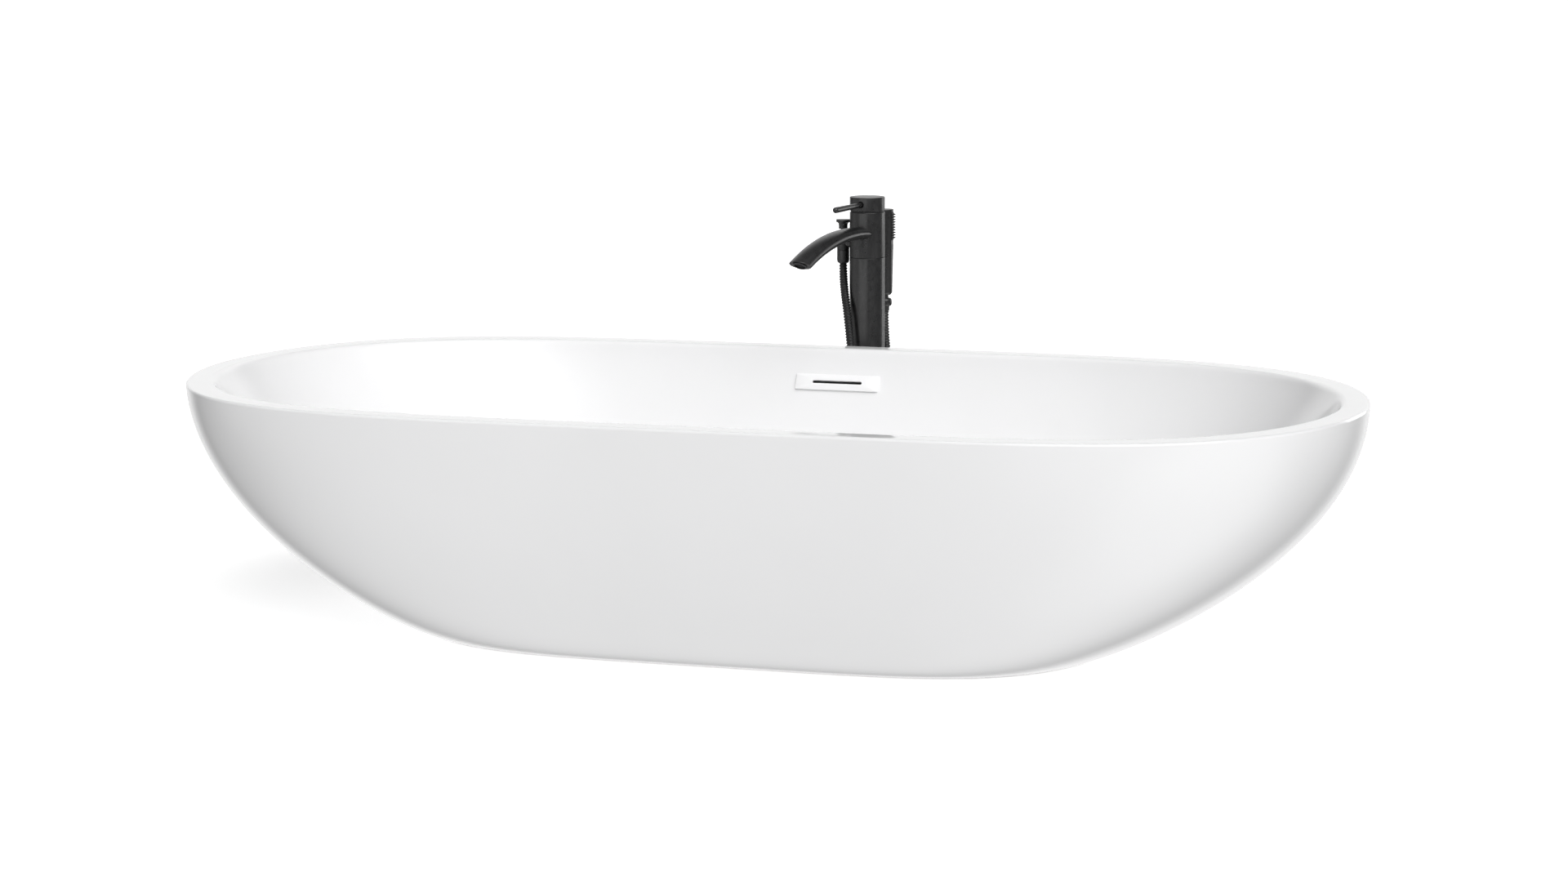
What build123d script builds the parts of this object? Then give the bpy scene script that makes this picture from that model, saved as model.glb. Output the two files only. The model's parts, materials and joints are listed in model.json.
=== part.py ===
from build123d import *
import os
from math import atan, cos, degrees, pi, radians, sin, tan

os.makedirs("parts", exist_ok=True)

# Freestanding double-walled bath with a floor-standing filler behind it.
# Millimetres. +Z is up. The origin is on the floor under the middle of the bath,
# +X runs along the bath and +Y points to the back, where the filler stands.

# --- bath, outside -----------------------------------------------------------
BATH_LENGTH = 1800.0
BATH_WIDTH = 921.0
BATH_HEIGHT = 376.0
BASE_LENGTH = 1055.0
BASE_WIDTH = 525.0
RIM_POWERS = (4.82, 1.89)     # |x/a|^first + |y/b|^second = 1 at the rim
BASE_POWERS = (4.60, 1.80)    # the same at the floor
LENGTH_CURVE = (1.98, 1.16)   # how the half length grows with height
WIDTH_CURVE = (1.43, 1.82)    # how the half width grows with height
SKIRT_WALL = 5.0
SKIRT_GAP = 3.0               # between the skirt and the floor

# --- bath, rim and basin -----------------------------------------------------
RIM_DECK = 40.0
RIM_DEPTH = 14.0
RIM_WALL = 6.0
RIM_OUTER_ROUND = 5.0
RIM_INNER_ROUND = 9.0
BASIN_FLOOR = 80.0
BASIN_BASE_HALF = (480.0, 165.0)
BASIN_CURVE = (1.15, 1.60)
SHELL_WALL = 6.0
BATTEN_THICKNESS = 12.0
BATTEN_HEIGHT = 20.0
BATTEN_INSET = 9.5

# --- support under the basin -------------------------------------------------
BOARD = (860.0, 280.0, 12.0)
BAR_WIDTH = 30.0
BAR_DEPTH = 20.0
BAR_WALL = 2.0
CROSS_BAR_X = 380.0
CROSS_BAR_LENGTH = 380.0
FOOT_Y = 165.0
FOOT_ROD_RADIUS = 5.0
FOOT_PAD_RADIUS = 22.0
FOOT_PAD_HEIGHT = 12.0

# --- drain and overflow ------------------------------------------------------
DRAIN_Y = 100.0
DRAIN_RADIUS = 24.0
DRAIN_FLANGE_RADIUS = 35.0
STOPPER_RADIUS = 29.0
STOPPER_TRAVEL = 6.0
STEM_RADIUS = 4.0
RUNNING_GAP = 0.05
OUTLET_RADIUS = 20.0
PIPE_RADIUS = 16.0
OVERFLOW_DROP = 53.0          # from the rim down to the middle of the plate
OVERFLOW_PLATE = (138.0, 27.0, 4.0)
OVERFLOW_SLOT = (82.0, 5.0)
OVERFLOW_PIPE_Y = 409.0

# --- filler ------------------------------------------------------------------
FILLER_Y = 578.0
FILLER_TURN = -13.0           # the spout points this far round from -Y
LEVER_TURN = -7.7
COLUMN_RADIUS = 29.0
COLUMN_BORE = 26.0
BODY_BOTTOM = 509.0
BODY_TOP = 583.5
HEAD_BOTTOM = 586.0
HEAD_TOP = 608.5
LEVER_Z = 597.0
LEVER_REACH = 135.0
LEVER_ROOT_RADIUS = 4.2
LEVER_TIP_RADIUS = 4.9
LEVER_HOLE_RADIUS = 5.5
SPOUT_Z = 549.0
SPOUT_REACH = 226.0
SPOUT_TIP_Z = 516.0
DIVERTER_X = -45.2
DIVERTER_RADIUS = 10.25
DIVERTER_TRAVEL = 8.0
HANDSET_Y = 62.2
HANDSET_RADIUS = 14.0
HANDSET_BOTTOM = 440.0
HANDSET_TOP = 583.0
CRADLE_Z = (421.0, 434.0)
HOSE_RADIUS = 7.0
HOSE_TOP = 497.0
HOSE_END = 413.0


# --- helpers -----------------------------------------------------------------
def save(name, shape):
    export_step(shape, f"parts/{name}.step")


def rod(radius, z0, z1, x=0.0, y=0.0):
    """An upright cylinder from z0 to z1."""
    return Pos(x, y, z0) * Cylinder(radius, z1 - z0, align=(Align.CENTER, Align.CENTER, Align.MIN))


def ring(outer, inner, z0, z1, x=0.0, y=0.0):
    """An upright tube from z0 to z1."""
    return rod(outer, z0, z1, x, y) - rod(inner, z0 - 1, z1 + 1, x, y)


def block(x0, x1, y0, y1, z0, z1):
    centre = ((x0 + x1) / 2, (y0 + y1) / 2, (z0 + z1) / 2)
    return Pos(*centre) * Box(x1 - x0, y1 - y0, z1 - z0)


def turned(points, x=0.0, y=0.0):
    """A solid of revolution about an upright axis, from (radius, z) points."""
    face = Plane.XZ * make_face(Polyline(*points, close=True))
    return Pos(x, y, 0) * revolve(face, Axis.Z)


def radial_rod(radius, start, end, z, angle):
    """A level cylinder from start to end out from the Z axis, angle 0 along -Y."""
    length = end - start
    bar = Pos(0, -(start + end) / 2, z) * Rot(90, 0, 0) * Cylinder(radius, length)
    return Rot(0, 0, angle) * bar


def in_filler(shape):
    """From the filler's own frame, spout along -Y, to the bath's."""
    return Pos(0, FILLER_Y, 0) * Rot(0, 0, FILLER_TURN) * shape


# --- curved outlines of the bath ---------------------------------------------
SIDE_SHARES = (0.0, 0.2, 0.38, 0.54, 0.68, 0.80)
END_SHARES = (0.66, 0.52, 0.38, 0.25, 0.12, 0.0)


def outline(half_length, half_width, powers, z):
    """A closed oval with flat sides and full ends, as a wire at height z."""
    p, q = powers
    quarter = [(half_length * s, half_width * (1 - s**p) ** (1 / q)) for s in SIDE_SHARES]
    quarter += [(half_length * (1 - s**q) ** (1 / p), half_width * s) for s in END_SHARES]
    loop = quarter + [(x, -y) for x, y in reversed(quarter[:-1])]
    loop += [(-x, -y) for x, y in quarter[1:]] + [(-x, y) for x, y in reversed(quarter[1:-1])]
    return Wire([Edge.make_spline([Vector(x, y, z) for x, y in loop], periodic=True)])


def prism(wire, height):
    return extrude(Face(wire), height, dir=(0, 0, 1))


def rise(t, curve):
    """Grows from 0 to 1 as t does, fast at first."""
    return (1 - (1 - t) ** curve[0]) ** (1 / curve[1])


def outside_at(z):
    """Half length, half width and powers of the bath's outside at height z."""
    t = min(z / BATH_HEIGHT, 1.0)
    a = BASE_LENGTH / 2 + (BATH_LENGTH - BASE_LENGTH) / 2 * rise(t, LENGTH_CURVE)
    b = BASE_WIDTH / 2 + (BATH_WIDTH - BASE_WIDTH) / 2 * rise(t, WIDTH_CURVE)
    powers = tuple(u + (v - u) * t for u, v in zip(BASE_POWERS, RIM_POWERS))
    return a, b, powers


def basin_at(z):
    """The same for the inside of the basin."""
    t = min((z - BASIN_FLOOR) / (BATH_HEIGHT - BASIN_FLOOR), 1.0)
    top = (BATH_LENGTH / 2 - RIM_DECK, BATH_WIDTH / 2 - RIM_DECK)
    grow = rise(t, BASIN_CURVE)
    a, b = (low + (high - low) * grow for low, high in zip(BASIN_BASE_HALF, top))
    return a, b, RIM_POWERS


def stack(size_at, heights, wider=0.0, higher=0.0):
    """A smooth solid through the outlines at the heights, widened and raised."""
    wires = []
    for z in heights:
        a, b, powers = size_at(z)
        wires.append(outline(a + wider, b + wider, powers, z + higher))
    return Solid.make_loft(wires)


def rim_prism(inset, z0, z1):
    a, b, powers = outside_at(BATH_HEIGHT)
    return prism(outline(a - inset, b - inset, powers, z0), z1 - z0)


# --- bath: shells and frame --------------------------------------------------
SKIRT_TOP = BATH_HEIGHT - RIM_DEPTH
SKIRT_HEIGHTS = (SKIRT_GAP, 8, 18, 34, 58, 92, 136, 188, 244, 304, SKIRT_TOP)
BASIN_HEIGHTS = (BASIN_FLOOR, 83, 90, 102, 122, 150, 188, 232, 282, 330, BATH_HEIGHT)


def overflow_plane():
    """On the basin's back wall: x along the wall, y up it, z into the basin."""
    z = BATH_HEIGHT - OVERFLOW_DROP
    step = 2.0
    slope = atan((basin_at(z + step)[1] - basin_at(z - step)[1]) / (2 * step))
    origin = (0, basin_at(z)[1], z)
    return Plane(origin=origin, x_dir=(1, 0, 0), z_dir=(0, -cos(slope), sin(slope)))


WALL = overflow_plane()
SCREW_X = 57.0
SCREW_RADIUS = 2.5
PLATE_LIFT = 0.5              # a flat plate on a slightly hollow wall
WALL_BACK = -9.2              # the back of the basin wall, in WALL's z


def wall_block(length, width, z0, z1):
    return WALL * Pos(0, 0, (z0 + z1) / 2) * Box(length, width, z1 - z0)


def wall_rods(radius, z0, z1):
    pegs = [Pos(x, 0, (z0 + z1) / 2) * Cylinder(radius, z1 - z0) for x in (-SCREW_X, SCREW_X)]
    return [WALL * peg for peg in pegs]


def bath_shell():
    rim = rim_prism(0, BATH_HEIGHT - RIM_DEPTH, BATH_HEIGHT)
    rim = fillet(rim.edges().group_by(Axis.Z)[-1], RIM_OUTER_ROUND)
    rim -= rim_prism(RIM_WALL, BATH_HEIGHT - RIM_DEPTH - 1, BATH_HEIGHT - RIM_WALL)
    bowl = stack(basin_at, BASIN_HEIGHTS, SHELL_WALL, -SHELL_WALL)
    shell = rim + bowl
    shell -= stack(basin_at, BASIN_HEIGHTS)
    mouth = shell.edges().filter_by(lambda e: abs(e.center().Z - BATH_HEIGHT) < 0.01)
    mouth = mouth.sort_by(lambda e: e.length)[0]
    shell = fillet(mouth, RIM_INNER_ROUND)
    shell -= rod(DRAIN_RADIUS, BASIN_FLOOR - 20, BASIN_FLOOR + 20, y=DRAIN_Y)
    shell -= wall_block(100, 14, -20, 20)
    return shell - wall_rods(SCREW_RADIUS, -20, 20)


def outer_skirt():
    skirt = stack(outside_at, SKIRT_HEIGHTS)
    a, b, powers = outside_at(SKIRT_GAP)
    lift = SKIRT_WALL - 1
    opening = outline(a - SKIRT_WALL, b - SKIRT_WALL, powers, -lift)
    skirt -= prism(opening, SKIRT_GAP + 2 * lift)
    return skirt - stack(outside_at, SKIRT_HEIGHTS, -SKIRT_WALL, lift)


def rim_batten():
    top = BATH_HEIGHT - RIM_WALL
    band = rim_prism(BATTEN_INSET, top - BATTEN_HEIGHT, top)
    return band - rim_prism(BATTEN_INSET + BATTEN_THICKNESS, top - BATTEN_HEIGHT - 1, top + 1)


BOARD_TOP = BASIN_FLOOR - SHELL_WALL
BAR_TOP = BOARD_TOP - BOARD[2]
BAR_BOTTOM = BAR_TOP - BAR_DEPTH
FEET = [(x, y) for x in (-CROSS_BAR_X, CROSS_BAR_X) for y in (-FOOT_Y, FOOT_Y)] + [(0.0, 0.0)]
FRAME_SCREWS = [(x, y) for x in (-CROSS_BAR_X, CROSS_BAR_X) for y in (-90.0, 90.0)]
FRAME_SCREWS += [(-180.0, 0.0), (180.0, 0.0)]
FRAME_SCREW_RADIUS = 2.0
FRAME_SCREW_TOP = BOARD_TOP - 3


def bar(x0, x1, y0, y1):
    """A box section, hollow along its longer side."""
    if x1 - x0 > y1 - y0:
        core = block(x0 - 1, x1 + 1, y0 + BAR_WALL, y1 - BAR_WALL, BAR_BOTTOM + BAR_WALL, BAR_TOP - BAR_WALL)
    else:
        core = block(x0 + BAR_WALL, x1 - BAR_WALL, y0 - 1, y1 + 1, BAR_BOTTOM + BAR_WALL, BAR_TOP - BAR_WALL)
    return block(x0, x1, y0, y1, BAR_BOTTOM, BAR_TOP) - core


def support_frame():
    half, inner = BAR_WIDTH / 2, CROSS_BAR_X - BAR_WIDTH / 2
    frame = bar(-inner, inner, -half, half)
    for x in (-CROSS_BAR_X, CROSS_BAR_X):
        frame += bar(x - half, x + half, -CROSS_BAR_LENGTH / 2, CROSS_BAR_LENGTH / 2)
    for x, y in FEET:
        frame -= rod(FOOT_ROD_RADIUS, BAR_BOTTOM - 1, BAR_TOP + 1, x, y)
    for x, y in FRAME_SCREWS:
        frame -= rod(FRAME_SCREW_RADIUS, BAR_BOTTOM - 1, BAR_TOP + 1, x, y)
    return frame


def base_board():
    x, y = BOARD[0] / 2, BOARD[1] / 2
    board = block(-x, x, -y, y, BAR_TOP, BOARD_TOP)
    board = fillet(board.edges().filter_by(Axis.Z), 30)
    board -= rod(DRAIN_FLANGE_RADIUS + 6, BAR_TOP - 1, BOARD_TOP + 1, y=DRAIN_Y)
    for px, py in FRAME_SCREWS:
        board -= rod(FRAME_SCREW_RADIUS, BAR_TOP - 1, FRAME_SCREW_TOP, px, py)
    return board


def frame_screws():
    shapes = []
    for x, y in FRAME_SCREWS:
        head = rod(4.5, BAR_BOTTOM - 3, BAR_BOTTOM, x, y)
        shapes.append(head + rod(FRAME_SCREW_RADIUS, BAR_BOTTOM - 1, FRAME_SCREW_TOP, x, y))
    return Compound(shapes)


def foot_rods():
    return Compound([rod(FOOT_ROD_RADIUS, FOOT_PAD_HEIGHT - 7, BAR_TOP - 1, x, y) for x, y in FEET])


def foot_nuts():
    nuts = []
    for x, y in FEET:
        nut = extrude(RegularPolygon(9.5, 6), 8)
        nuts.append(Pos(x, y, BAR_BOTTOM - 8) * nut - rod(FOOT_ROD_RADIUS, 0, BAR_TOP, x, y))
    return Compound(nuts)


def foot_pads():
    pads = []
    for x, y in FEET:
        profile = [(0, 0), (FOOT_PAD_RADIUS, 0), (FOOT_PAD_RADIUS, 4), (10, 8),
                   (10, FOOT_PAD_HEIGHT), (0, FOOT_PAD_HEIGHT)]
        pads.append(turned(profile, x, y) - rod(FOOT_ROD_RADIUS, FOOT_PAD_HEIGHT - 7, 20, x, y))
    return Compound(pads)


# --- bath: drain and overflow ------------------------------------------------
GASKET_TOP = BASIN_FLOOR + 1.5
FLANGE_TOP = GASKET_TOP + 3.0
SHELL_UNDER = BASIN_FLOOR - SHELL_WALL
NUT_TOP = SHELL_UNDER - 3.0
NUT_BOTTOM = NUT_TOP - 9.0
DRAIN_BODY_BOTTOM = 36.0
DRAIN_BORE = 21.0
ELBOW_TOP = NUT_BOTTOM - 2.0
ELBOW_FLOOR = 22.0
BRANCH_Z = 40.0
BRANCH_END = DRAIN_Y + 68.0
CARTRIDGE_Z = (48.0, 60.0)


def drain_flange():
    profile = [(DRAIN_BORE, DRAIN_BODY_BOTTOM), (DRAIN_RADIUS, DRAIN_BODY_BOTTOM),
               (DRAIN_RADIUS, GASKET_TOP), (DRAIN_FLANGE_RADIUS, GASKET_TOP),
               (DRAIN_FLANGE_RADIUS, GASKET_TOP + 1), (DRAIN_FLANGE_RADIUS - 4, FLANGE_TOP),
               (DRAIN_BORE + 3, FLANGE_TOP), (DRAIN_BORE, FLANGE_TOP - 2)]
    return turned(profile, y=DRAIN_Y)


def drain_gasket():
    return ring(DRAIN_FLANGE_RADIUS - 1, DRAIN_RADIUS, BASIN_FLOOR, GASKET_TOP, y=DRAIN_Y)


def drain_washer():
    return ring(DRAIN_FLANGE_RADIUS, DRAIN_RADIUS, NUT_TOP, SHELL_UNDER, y=DRAIN_Y)


def drain_lock_nut():
    nut = Pos(0, DRAIN_Y, NUT_BOTTOM) * extrude(RegularPolygon(36, 8), NUT_TOP - NUT_BOTTOM)
    return nut - rod(DRAIN_RADIUS, 0, 100, y=DRAIN_Y)


def drain_spider():
    """Three arms in the drain that guide the stopper's stem."""
    z0, z1 = CARTRIDGE_Z
    spider = ring(DRAIN_BORE, DRAIN_BORE - 2, z0, z1) + rod(7, z0, z1)
    for angle in (0, 120, 240):
        spider += Rot(0, 0, angle) * block(0, DRAIN_BORE - 1, -1.5, 1.5, z0, z1)
    spider -= rod(STEM_RADIUS + RUNNING_GAP, z0 - 1, z1 + 1)
    return Pos(0, DRAIN_Y, 0) * spider


STOPPER_UNDER = FLANGE_TOP + STOPPER_TRAVEL + 1.0


def stopper_cap():
    r = STOPPER_RADIUS
    profile = [(0, STOPPER_UNDER), (r - 4, STOPPER_UNDER), (r, STOPPER_UNDER + 2), (r - 1, STOPPER_UNDER + 4),
               (r * 0.8, STOPPER_UNDER + 6), (r * 0.5, STOPPER_UNDER + 7.2), (0, STOPPER_UNDER + 8)]
    return turned(profile, y=DRAIN_Y) - rod(STEM_RADIUS, 0, STOPPER_UNDER + 4, y=DRAIN_Y)


def stopper_stem():
    stem = rod(STEM_RADIUS, CARTRIDGE_Z[0] - 4, STOPPER_UNDER + 4, y=DRAIN_Y)
    return stem + rod(STEM_RADIUS + 2, CARTRIDGE_Z[0] - 6, CARTRIDGE_Z[0] - 3, y=DRAIN_Y)


def stopper_seal():
    return ring(DRAIN_BORE + 1, STEM_RADIUS, STOPPER_UNDER - 2.2, STOPPER_UNDER, y=DRAIN_Y)


def waste_elbow():
    y = DRAIN_Y
    elbow = rod(DRAIN_RADIUS + 5, ELBOW_FLOOR - 3, ELBOW_TOP, y=y)
    elbow += rod(OUTLET_RADIUS, 1, ELBOW_FLOOR, y=y)
    branch = Cylinder(PIPE_RADIUS + 3, BRANCH_END - y)
    elbow += Pos(0, (y + BRANCH_END) / 2, BRANCH_Z) * Rot(90, 0, 0) * branch
    elbow -= rod(DRAIN_RADIUS, DRAIN_BODY_BOTTOM, 100, y=y)
    elbow -= rod(DRAIN_BORE, ELBOW_FLOOR, DRAIN_BODY_BOTTOM, y=y)
    elbow -= rod(OUTLET_RADIUS - 3, 0, ELBOW_FLOOR, y=y)
    mouth = y + DRAIN_RADIUS + 10
    elbow -= Pos(0, (mouth + BRANCH_END + 1) / 2, BRANCH_Z) * Rot(90, 0, 0) * Cylinder(
        PIPE_RADIUS, BRANCH_END + 1 - mouth)
    return elbow - Pos(0, mouth - 10, BRANCH_Z) * Rot(90, 0, 0) * Cylinder(8, 24)


PIPE_ROUTE = [(0, DRAIN_Y + DRAIN_RADIUS + 12, BRANCH_Z), (0, 300, BRANCH_Z), (0, 374, 150),
              (0, OVERFLOW_PIPE_Y, 240), (0, OVERFLOW_PIPE_Y, 292)]
PIPE_BENDS = (50, 120, 90)
PIPE_NUT_RADIUS = 20.0


def swept_tube(path, radius, bore=0.0):
    start = Plane(origin=path @ 0, z_dir=path % 0)
    tube = sweep(start * Circle(radius), path)
    return tube - sweep(start * Circle(bore), path) if bore else tube


def overflow_pipe():
    return swept_tube(FilletPolyline(*PIPE_ROUTE, radius=PIPE_BENDS), PIPE_RADIUS, PIPE_RADIUS - 2)


def pipe_nuts():
    nut = Cylinder(PIPE_NUT_RADIUS, 12) - Cylinder(PIPE_RADIUS, 13)
    low = Pos(0, BRANCH_END + 6, BRANCH_Z) * Rot(90, 0, 0) * nut
    high = ring(PIPE_NUT_RADIUS, PIPE_RADIUS, 262, 272, y=OVERFLOW_PIPE_Y)
    return Compound([low, high])


def overflow_plate():
    length, width, thick = OVERFLOW_PLATE
    plate = fillet(Box(length, width, thick).edges().filter_by(Axis.Z), 1.5)
    plate = fillet(plate.faces().sort_by(Axis.Z)[-1].edges(), 0.8)
    slot = extrude(SlotOverall(*OVERFLOW_SLOT), 2 * thick)
    plate = WALL * Pos(0, 0, PLATE_LIFT + thick / 2) * (plate - Pos(0, 0, -thick) * slot)
    return plate - wall_rods(SCREW_RADIUS, -1, 2.5)


def overflow_gasket():
    gasket = wall_block(126, 24, WALL_BACK - 2, WALL_BACK) - wall_block(100, 14, -20, 0)
    return gasket - wall_rods(SCREW_RADIUS, -20, 0)


def overflow_housing():
    front, back = WALL_BACK - 2, WALL_BACK - 24
    box = wall_block(126, 30, back, front)
    spout = rod(PIPE_RADIUS + 3, 272, 304, y=OVERFLOW_PIPE_Y)
    box += spout - wall_block(200, 60, front, front + 30)
    box -= wall_block(100, 18, back + 3, front + 1)
    box -= rod(PIPE_RADIUS, 270, 292, y=OVERFLOW_PIPE_Y) + rod(PIPE_RADIUS - 4, 280, 306, y=OVERFLOW_PIPE_Y)
    return box - wall_rods(SCREW_RADIUS, -60, 0)


def overflow_screws():
    back = WALL_BACK - 24
    shanks = wall_rods(SCREW_RADIUS, back, 2.5)
    heads = wall_rods(4.5, back - 3, back)
    return Compound([shank + head for shank, head in zip(shanks, heads)])


# --- filler: floor, column and valve -----------------------------------------
FLANGE_RADIUS = 60.0
FLANGE_HEIGHT = 10.0
BOLT_CIRCLE = 48.0
BOLT_HOLE = 4.5
COVER_RADIUS = 66.0
COVER_HEIGHT = 26.0
INLET_X = 12.5
INLET_RADIUS = 11.0
INLET_BORE = 8.3
INLET_HEIGHT = 18.0
SPIGOT_BOTTOM = BODY_BOTTOM - 20
CARTRIDGE_RADIUS = 18.0
CARTRIDGE_FLOOR = 540.0
CARTRIDGE_TOP = 575.0
VALVE_STEM = 5.0


def floor_flange():
    flange = rod(FLANGE_RADIUS, 0, FLANGE_HEIGHT) + rod(COLUMN_BORE, 0, FLANGE_HEIGHT + 30)
    flange -= rod(COLUMN_BORE - 2.2, -1, FLANGE_HEIGHT + 31)
    for angle in (45, 135, 225, 315):
        flange -= Rot(0, 0, angle) * rod(BOLT_HOLE, -1, FLANGE_HEIGHT + 1, BOLT_CIRCLE)
    return in_filler(flange)


def floor_cover():
    r, top, c = COVER_RADIUS, COVER_HEIGHT, COLUMN_RADIUS + 0.2
    profile = [(c, top), (r - 10, top), (r - 3, top - 3), (r, top - 10), (r, 0), (r - 3, 0),
               (r - 3, top - 10), (r - 5, top - 5), (r - 11, top - 3), (c, top - 3)]
    return in_filler(turned(profile))


def column_tube():
    tube = ring(COLUMN_RADIUS, COLUMN_BORE, FLANGE_HEIGHT, BODY_BOTTOM - 0.4)
    tube -= radial_rod(2.5, 20, 40, CRADLE_MIDDLE, 180)
    for angle in COLUMN_SCREW_ANGLES:
        tube -= radial_rod(2.0, 20, 40, COLUMN_SCREW_Z, angle)
    return in_filler(tube)


COLUMN_SCREW_Z = 499.0
COLUMN_SCREW_ANGLES = (120, 240)


def column_screws():
    screws = [in_filler(radial_rod(2.0, 23, 28.6, COLUMN_SCREW_Z, a)) for a in COLUMN_SCREW_ANGLES]
    return Compound(screws)


def supply_inlets():
    nipples = [ring(INLET_RADIUS, INLET_BORE, 0, INLET_HEIGHT, x) for x in (-INLET_X, INLET_X)]
    caps = [ring(INLET_RADIUS, 4, INLET_HEIGHT, INLET_HEIGHT + 4, x) for x in (-INLET_X, INLET_X)]
    return Compound([in_filler(n + c) for n, c in zip(nipples, caps)])


def supply_hoses():
    z0, z1 = INLET_HEIGHT + 4, SPIGOT_BOTTOM
    return Compound([in_filler(ring(6.5, 4, z0, z1, x)) for x in (-INLET_X, INLET_X)])


def valve_body():
    body = rod(COLUMN_RADIUS, BODY_BOTTOM, BODY_TOP) + rod(COLUMN_BORE, SPIGOT_BOTTOM, BODY_BOTTOM)
    body -= rod(CARTRIDGE_RADIUS, CARTRIDGE_FLOOR, BODY_TOP + 1)
    body -= rod(24, CARTRIDGE_TOP, BODY_TOP + 1)
    for x in (-INLET_X, INLET_X):
        body -= rod(4.0, SPIGOT_BOTTOM - 1, CARTRIDGE_FLOOR + 1, x)
    body -= radial_rod(9.0, 16, 40, SPOUT_Z, 0)
    body -= radial_rod(5.0, 16, 40, DIVERTER_ARM_Z, -90)
    for angle in COLUMN_SCREW_ANGLES:
        body -= radial_rod(2.0, 23, 40, COLUMN_SCREW_Z, angle)
    return in_filler(body)


def cartridge_body():
    body = rod(CARTRIDGE_RADIUS, CARTRIDGE_FLOOR, CARTRIDGE_TOP) + rod(12, CARTRIDGE_TOP, 582)
    return in_filler(body - rod(VALVE_STEM + RUNNING_GAP, 558, 590))


def cartridge_nut():
    return in_filler(ring(24, 12, CARTRIDGE_TOP, BODY_TOP - 0.5))


def glide_ring():
    return in_filler(ring(27.2, 24.2, BODY_TOP, HEAD_BOTTOM - 0.3))


# --- filler: lever head ------------------------------------------------------
HUB_RADIUS = 9.0
HUB_BOTTOM = 588.5


def lever_frame(shape):
    """The lever's own frame has the bar along -Y."""
    return Pos(0, FILLER_Y, 0) * Rot(0, 0, LEVER_TURN) * shape


def lever_head():
    head = rod(COLUMN_RADIUS, HEAD_BOTTOM, HEAD_TOP)
    head = fillet(head.edges().group_by(Axis.Z)[-1], 1.2)
    head -= ring(COLUMN_RADIUS - 3, HUB_RADIUS, HEAD_BOTTOM - 1, HEAD_TOP - 4)
    head -= rod(HUB_RADIUS + 0.1, HEAD_BOTTOM - 1, HUB_BOTTOM)
    head -= rod(VALVE_STEM, HEAD_BOTTOM - 1, HEAD_TOP - 7)
    head -= radial_rod(LEVER_HOLE_RADIUS, 18, 40, LEVER_Z, 0)
    head -= radial_rod(3.5, 3, 20, LEVER_Z, 0)
    head -= radial_rod(2.0, 3, 20, LEVER_Z, 180)
    return lever_frame(head - radial_rod(2.5, 18, 40, LEVER_Z, 180))


def lever_bar():
    tip, root, pin = LEVER_TIP_RADIUS, LEVER_ROOT_RADIUS, 3.5
    edge = Polyline((0, 5.5), (pin, 5.5), (pin, 20.5), (root, 20.5), (root, 26), (tip, LEVER_REACH - tip))
    nose = CenterArc((0, LEVER_REACH - tip), tip, 0, 90)
    axis = Line((0, LEVER_REACH), (0, 5.5))
    face = make_face([*edge.edges(), *nose.edges(), *axis.edges()])
    return lever_frame(Pos(0, 0, LEVER_Z) * Rot(0, 0, 180) * revolve(face, Axis.Y))


def lever_grub_screw():
    return lever_frame(radial_rod(2.0, 5.2, HUB_RADIUS + 1, LEVER_Z, 180))


def cartridge_stem():
    return lever_frame(rod(VALVE_STEM, 560, HEAD_TOP - 7))


# --- filler: spout -----------------------------------------------------------
SPOUT_START = 20.0
SPOUT_START_SLOPE = 6.0
SPOUT_ROOT_HALF = (20.0, 10.0)
SPOUT_TIP_HALF = (19.0, 12.5)
SPOUT_WALL = 3.0
SPOUT_CUT_TILT = 60.0         # the mouth faces this far below level
AERATOR_RADIUS = 12.0
SPOUT_SECTIONS = 7


def spout_arc():
    """The spout's middle line in the filler's YZ plane: a shallow arc."""
    start = Vector(0, -SPOUT_START, SPOUT_Z)
    end = Vector(0, -SPOUT_REACH - 4, SPOUT_TIP_Z - 2)
    slope = radians(SPOUT_START_SLOPE)
    return TangentArc(start, end, tangent=(0, -cos(slope), sin(slope)))


def spout_solid(shrink):
    arc = spout_arc()
    rings = []
    for i in range(SPOUT_SECTIONS):
        t = i / (SPOUT_SECTIONS - 1)
        half = [a + (b - a) * t - shrink for a, b in zip(SPOUT_ROOT_HALF, SPOUT_TIP_HALF)]
        plane = Plane(origin=arc @ t, x_dir=(1, 0, 0), z_dir=arc % t)
        rings.append(plane * Ellipse(*half))
    return loft(rings)


def spout_mouth():
    """The plane of the cut end, facing forward and down."""
    tilt = radians(SPOUT_CUT_TILT)
    facing = (0, -cos(tilt), -sin(tilt))
    return Plane(origin=(0, -SPOUT_REACH, SPOUT_TIP_Z), x_dir=(1, 0, 0), z_dir=facing)


def spout():
    mouth = spout_mouth()
    body = spout_solid(0) - rod(COLUMN_RADIUS, 400, 700)
    body -= mouth * Pos(0, 0, 30) * Box(90, 90, 60)
    channel = spout_solid(SPOUT_WALL + 1) & mouth * Pos(0, 0, -204) * Box(400, 400, 400)
    body += radial_rod(9.0, 20, 34, SPOUT_Z, 0)
    body -= radial_rod(6.0, 10, 60, SPOUT_Z, 0) + channel
    return in_filler(body - mouth * Pos(0, 0, -1.25) * Cylinder(AERATOR_RADIUS, 4.5))


def aerator_housing():
    return in_filler(spout_mouth() * Pos(0, 0, -0.75) * (Cylinder(AERATOR_RADIUS, 5.5) - Cylinder(9.5, 6)))


def aerator_screen():
    return in_filler(spout_mouth() * Pos(0, 0, -1.5) * Cylinder(9.5, 3))


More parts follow.
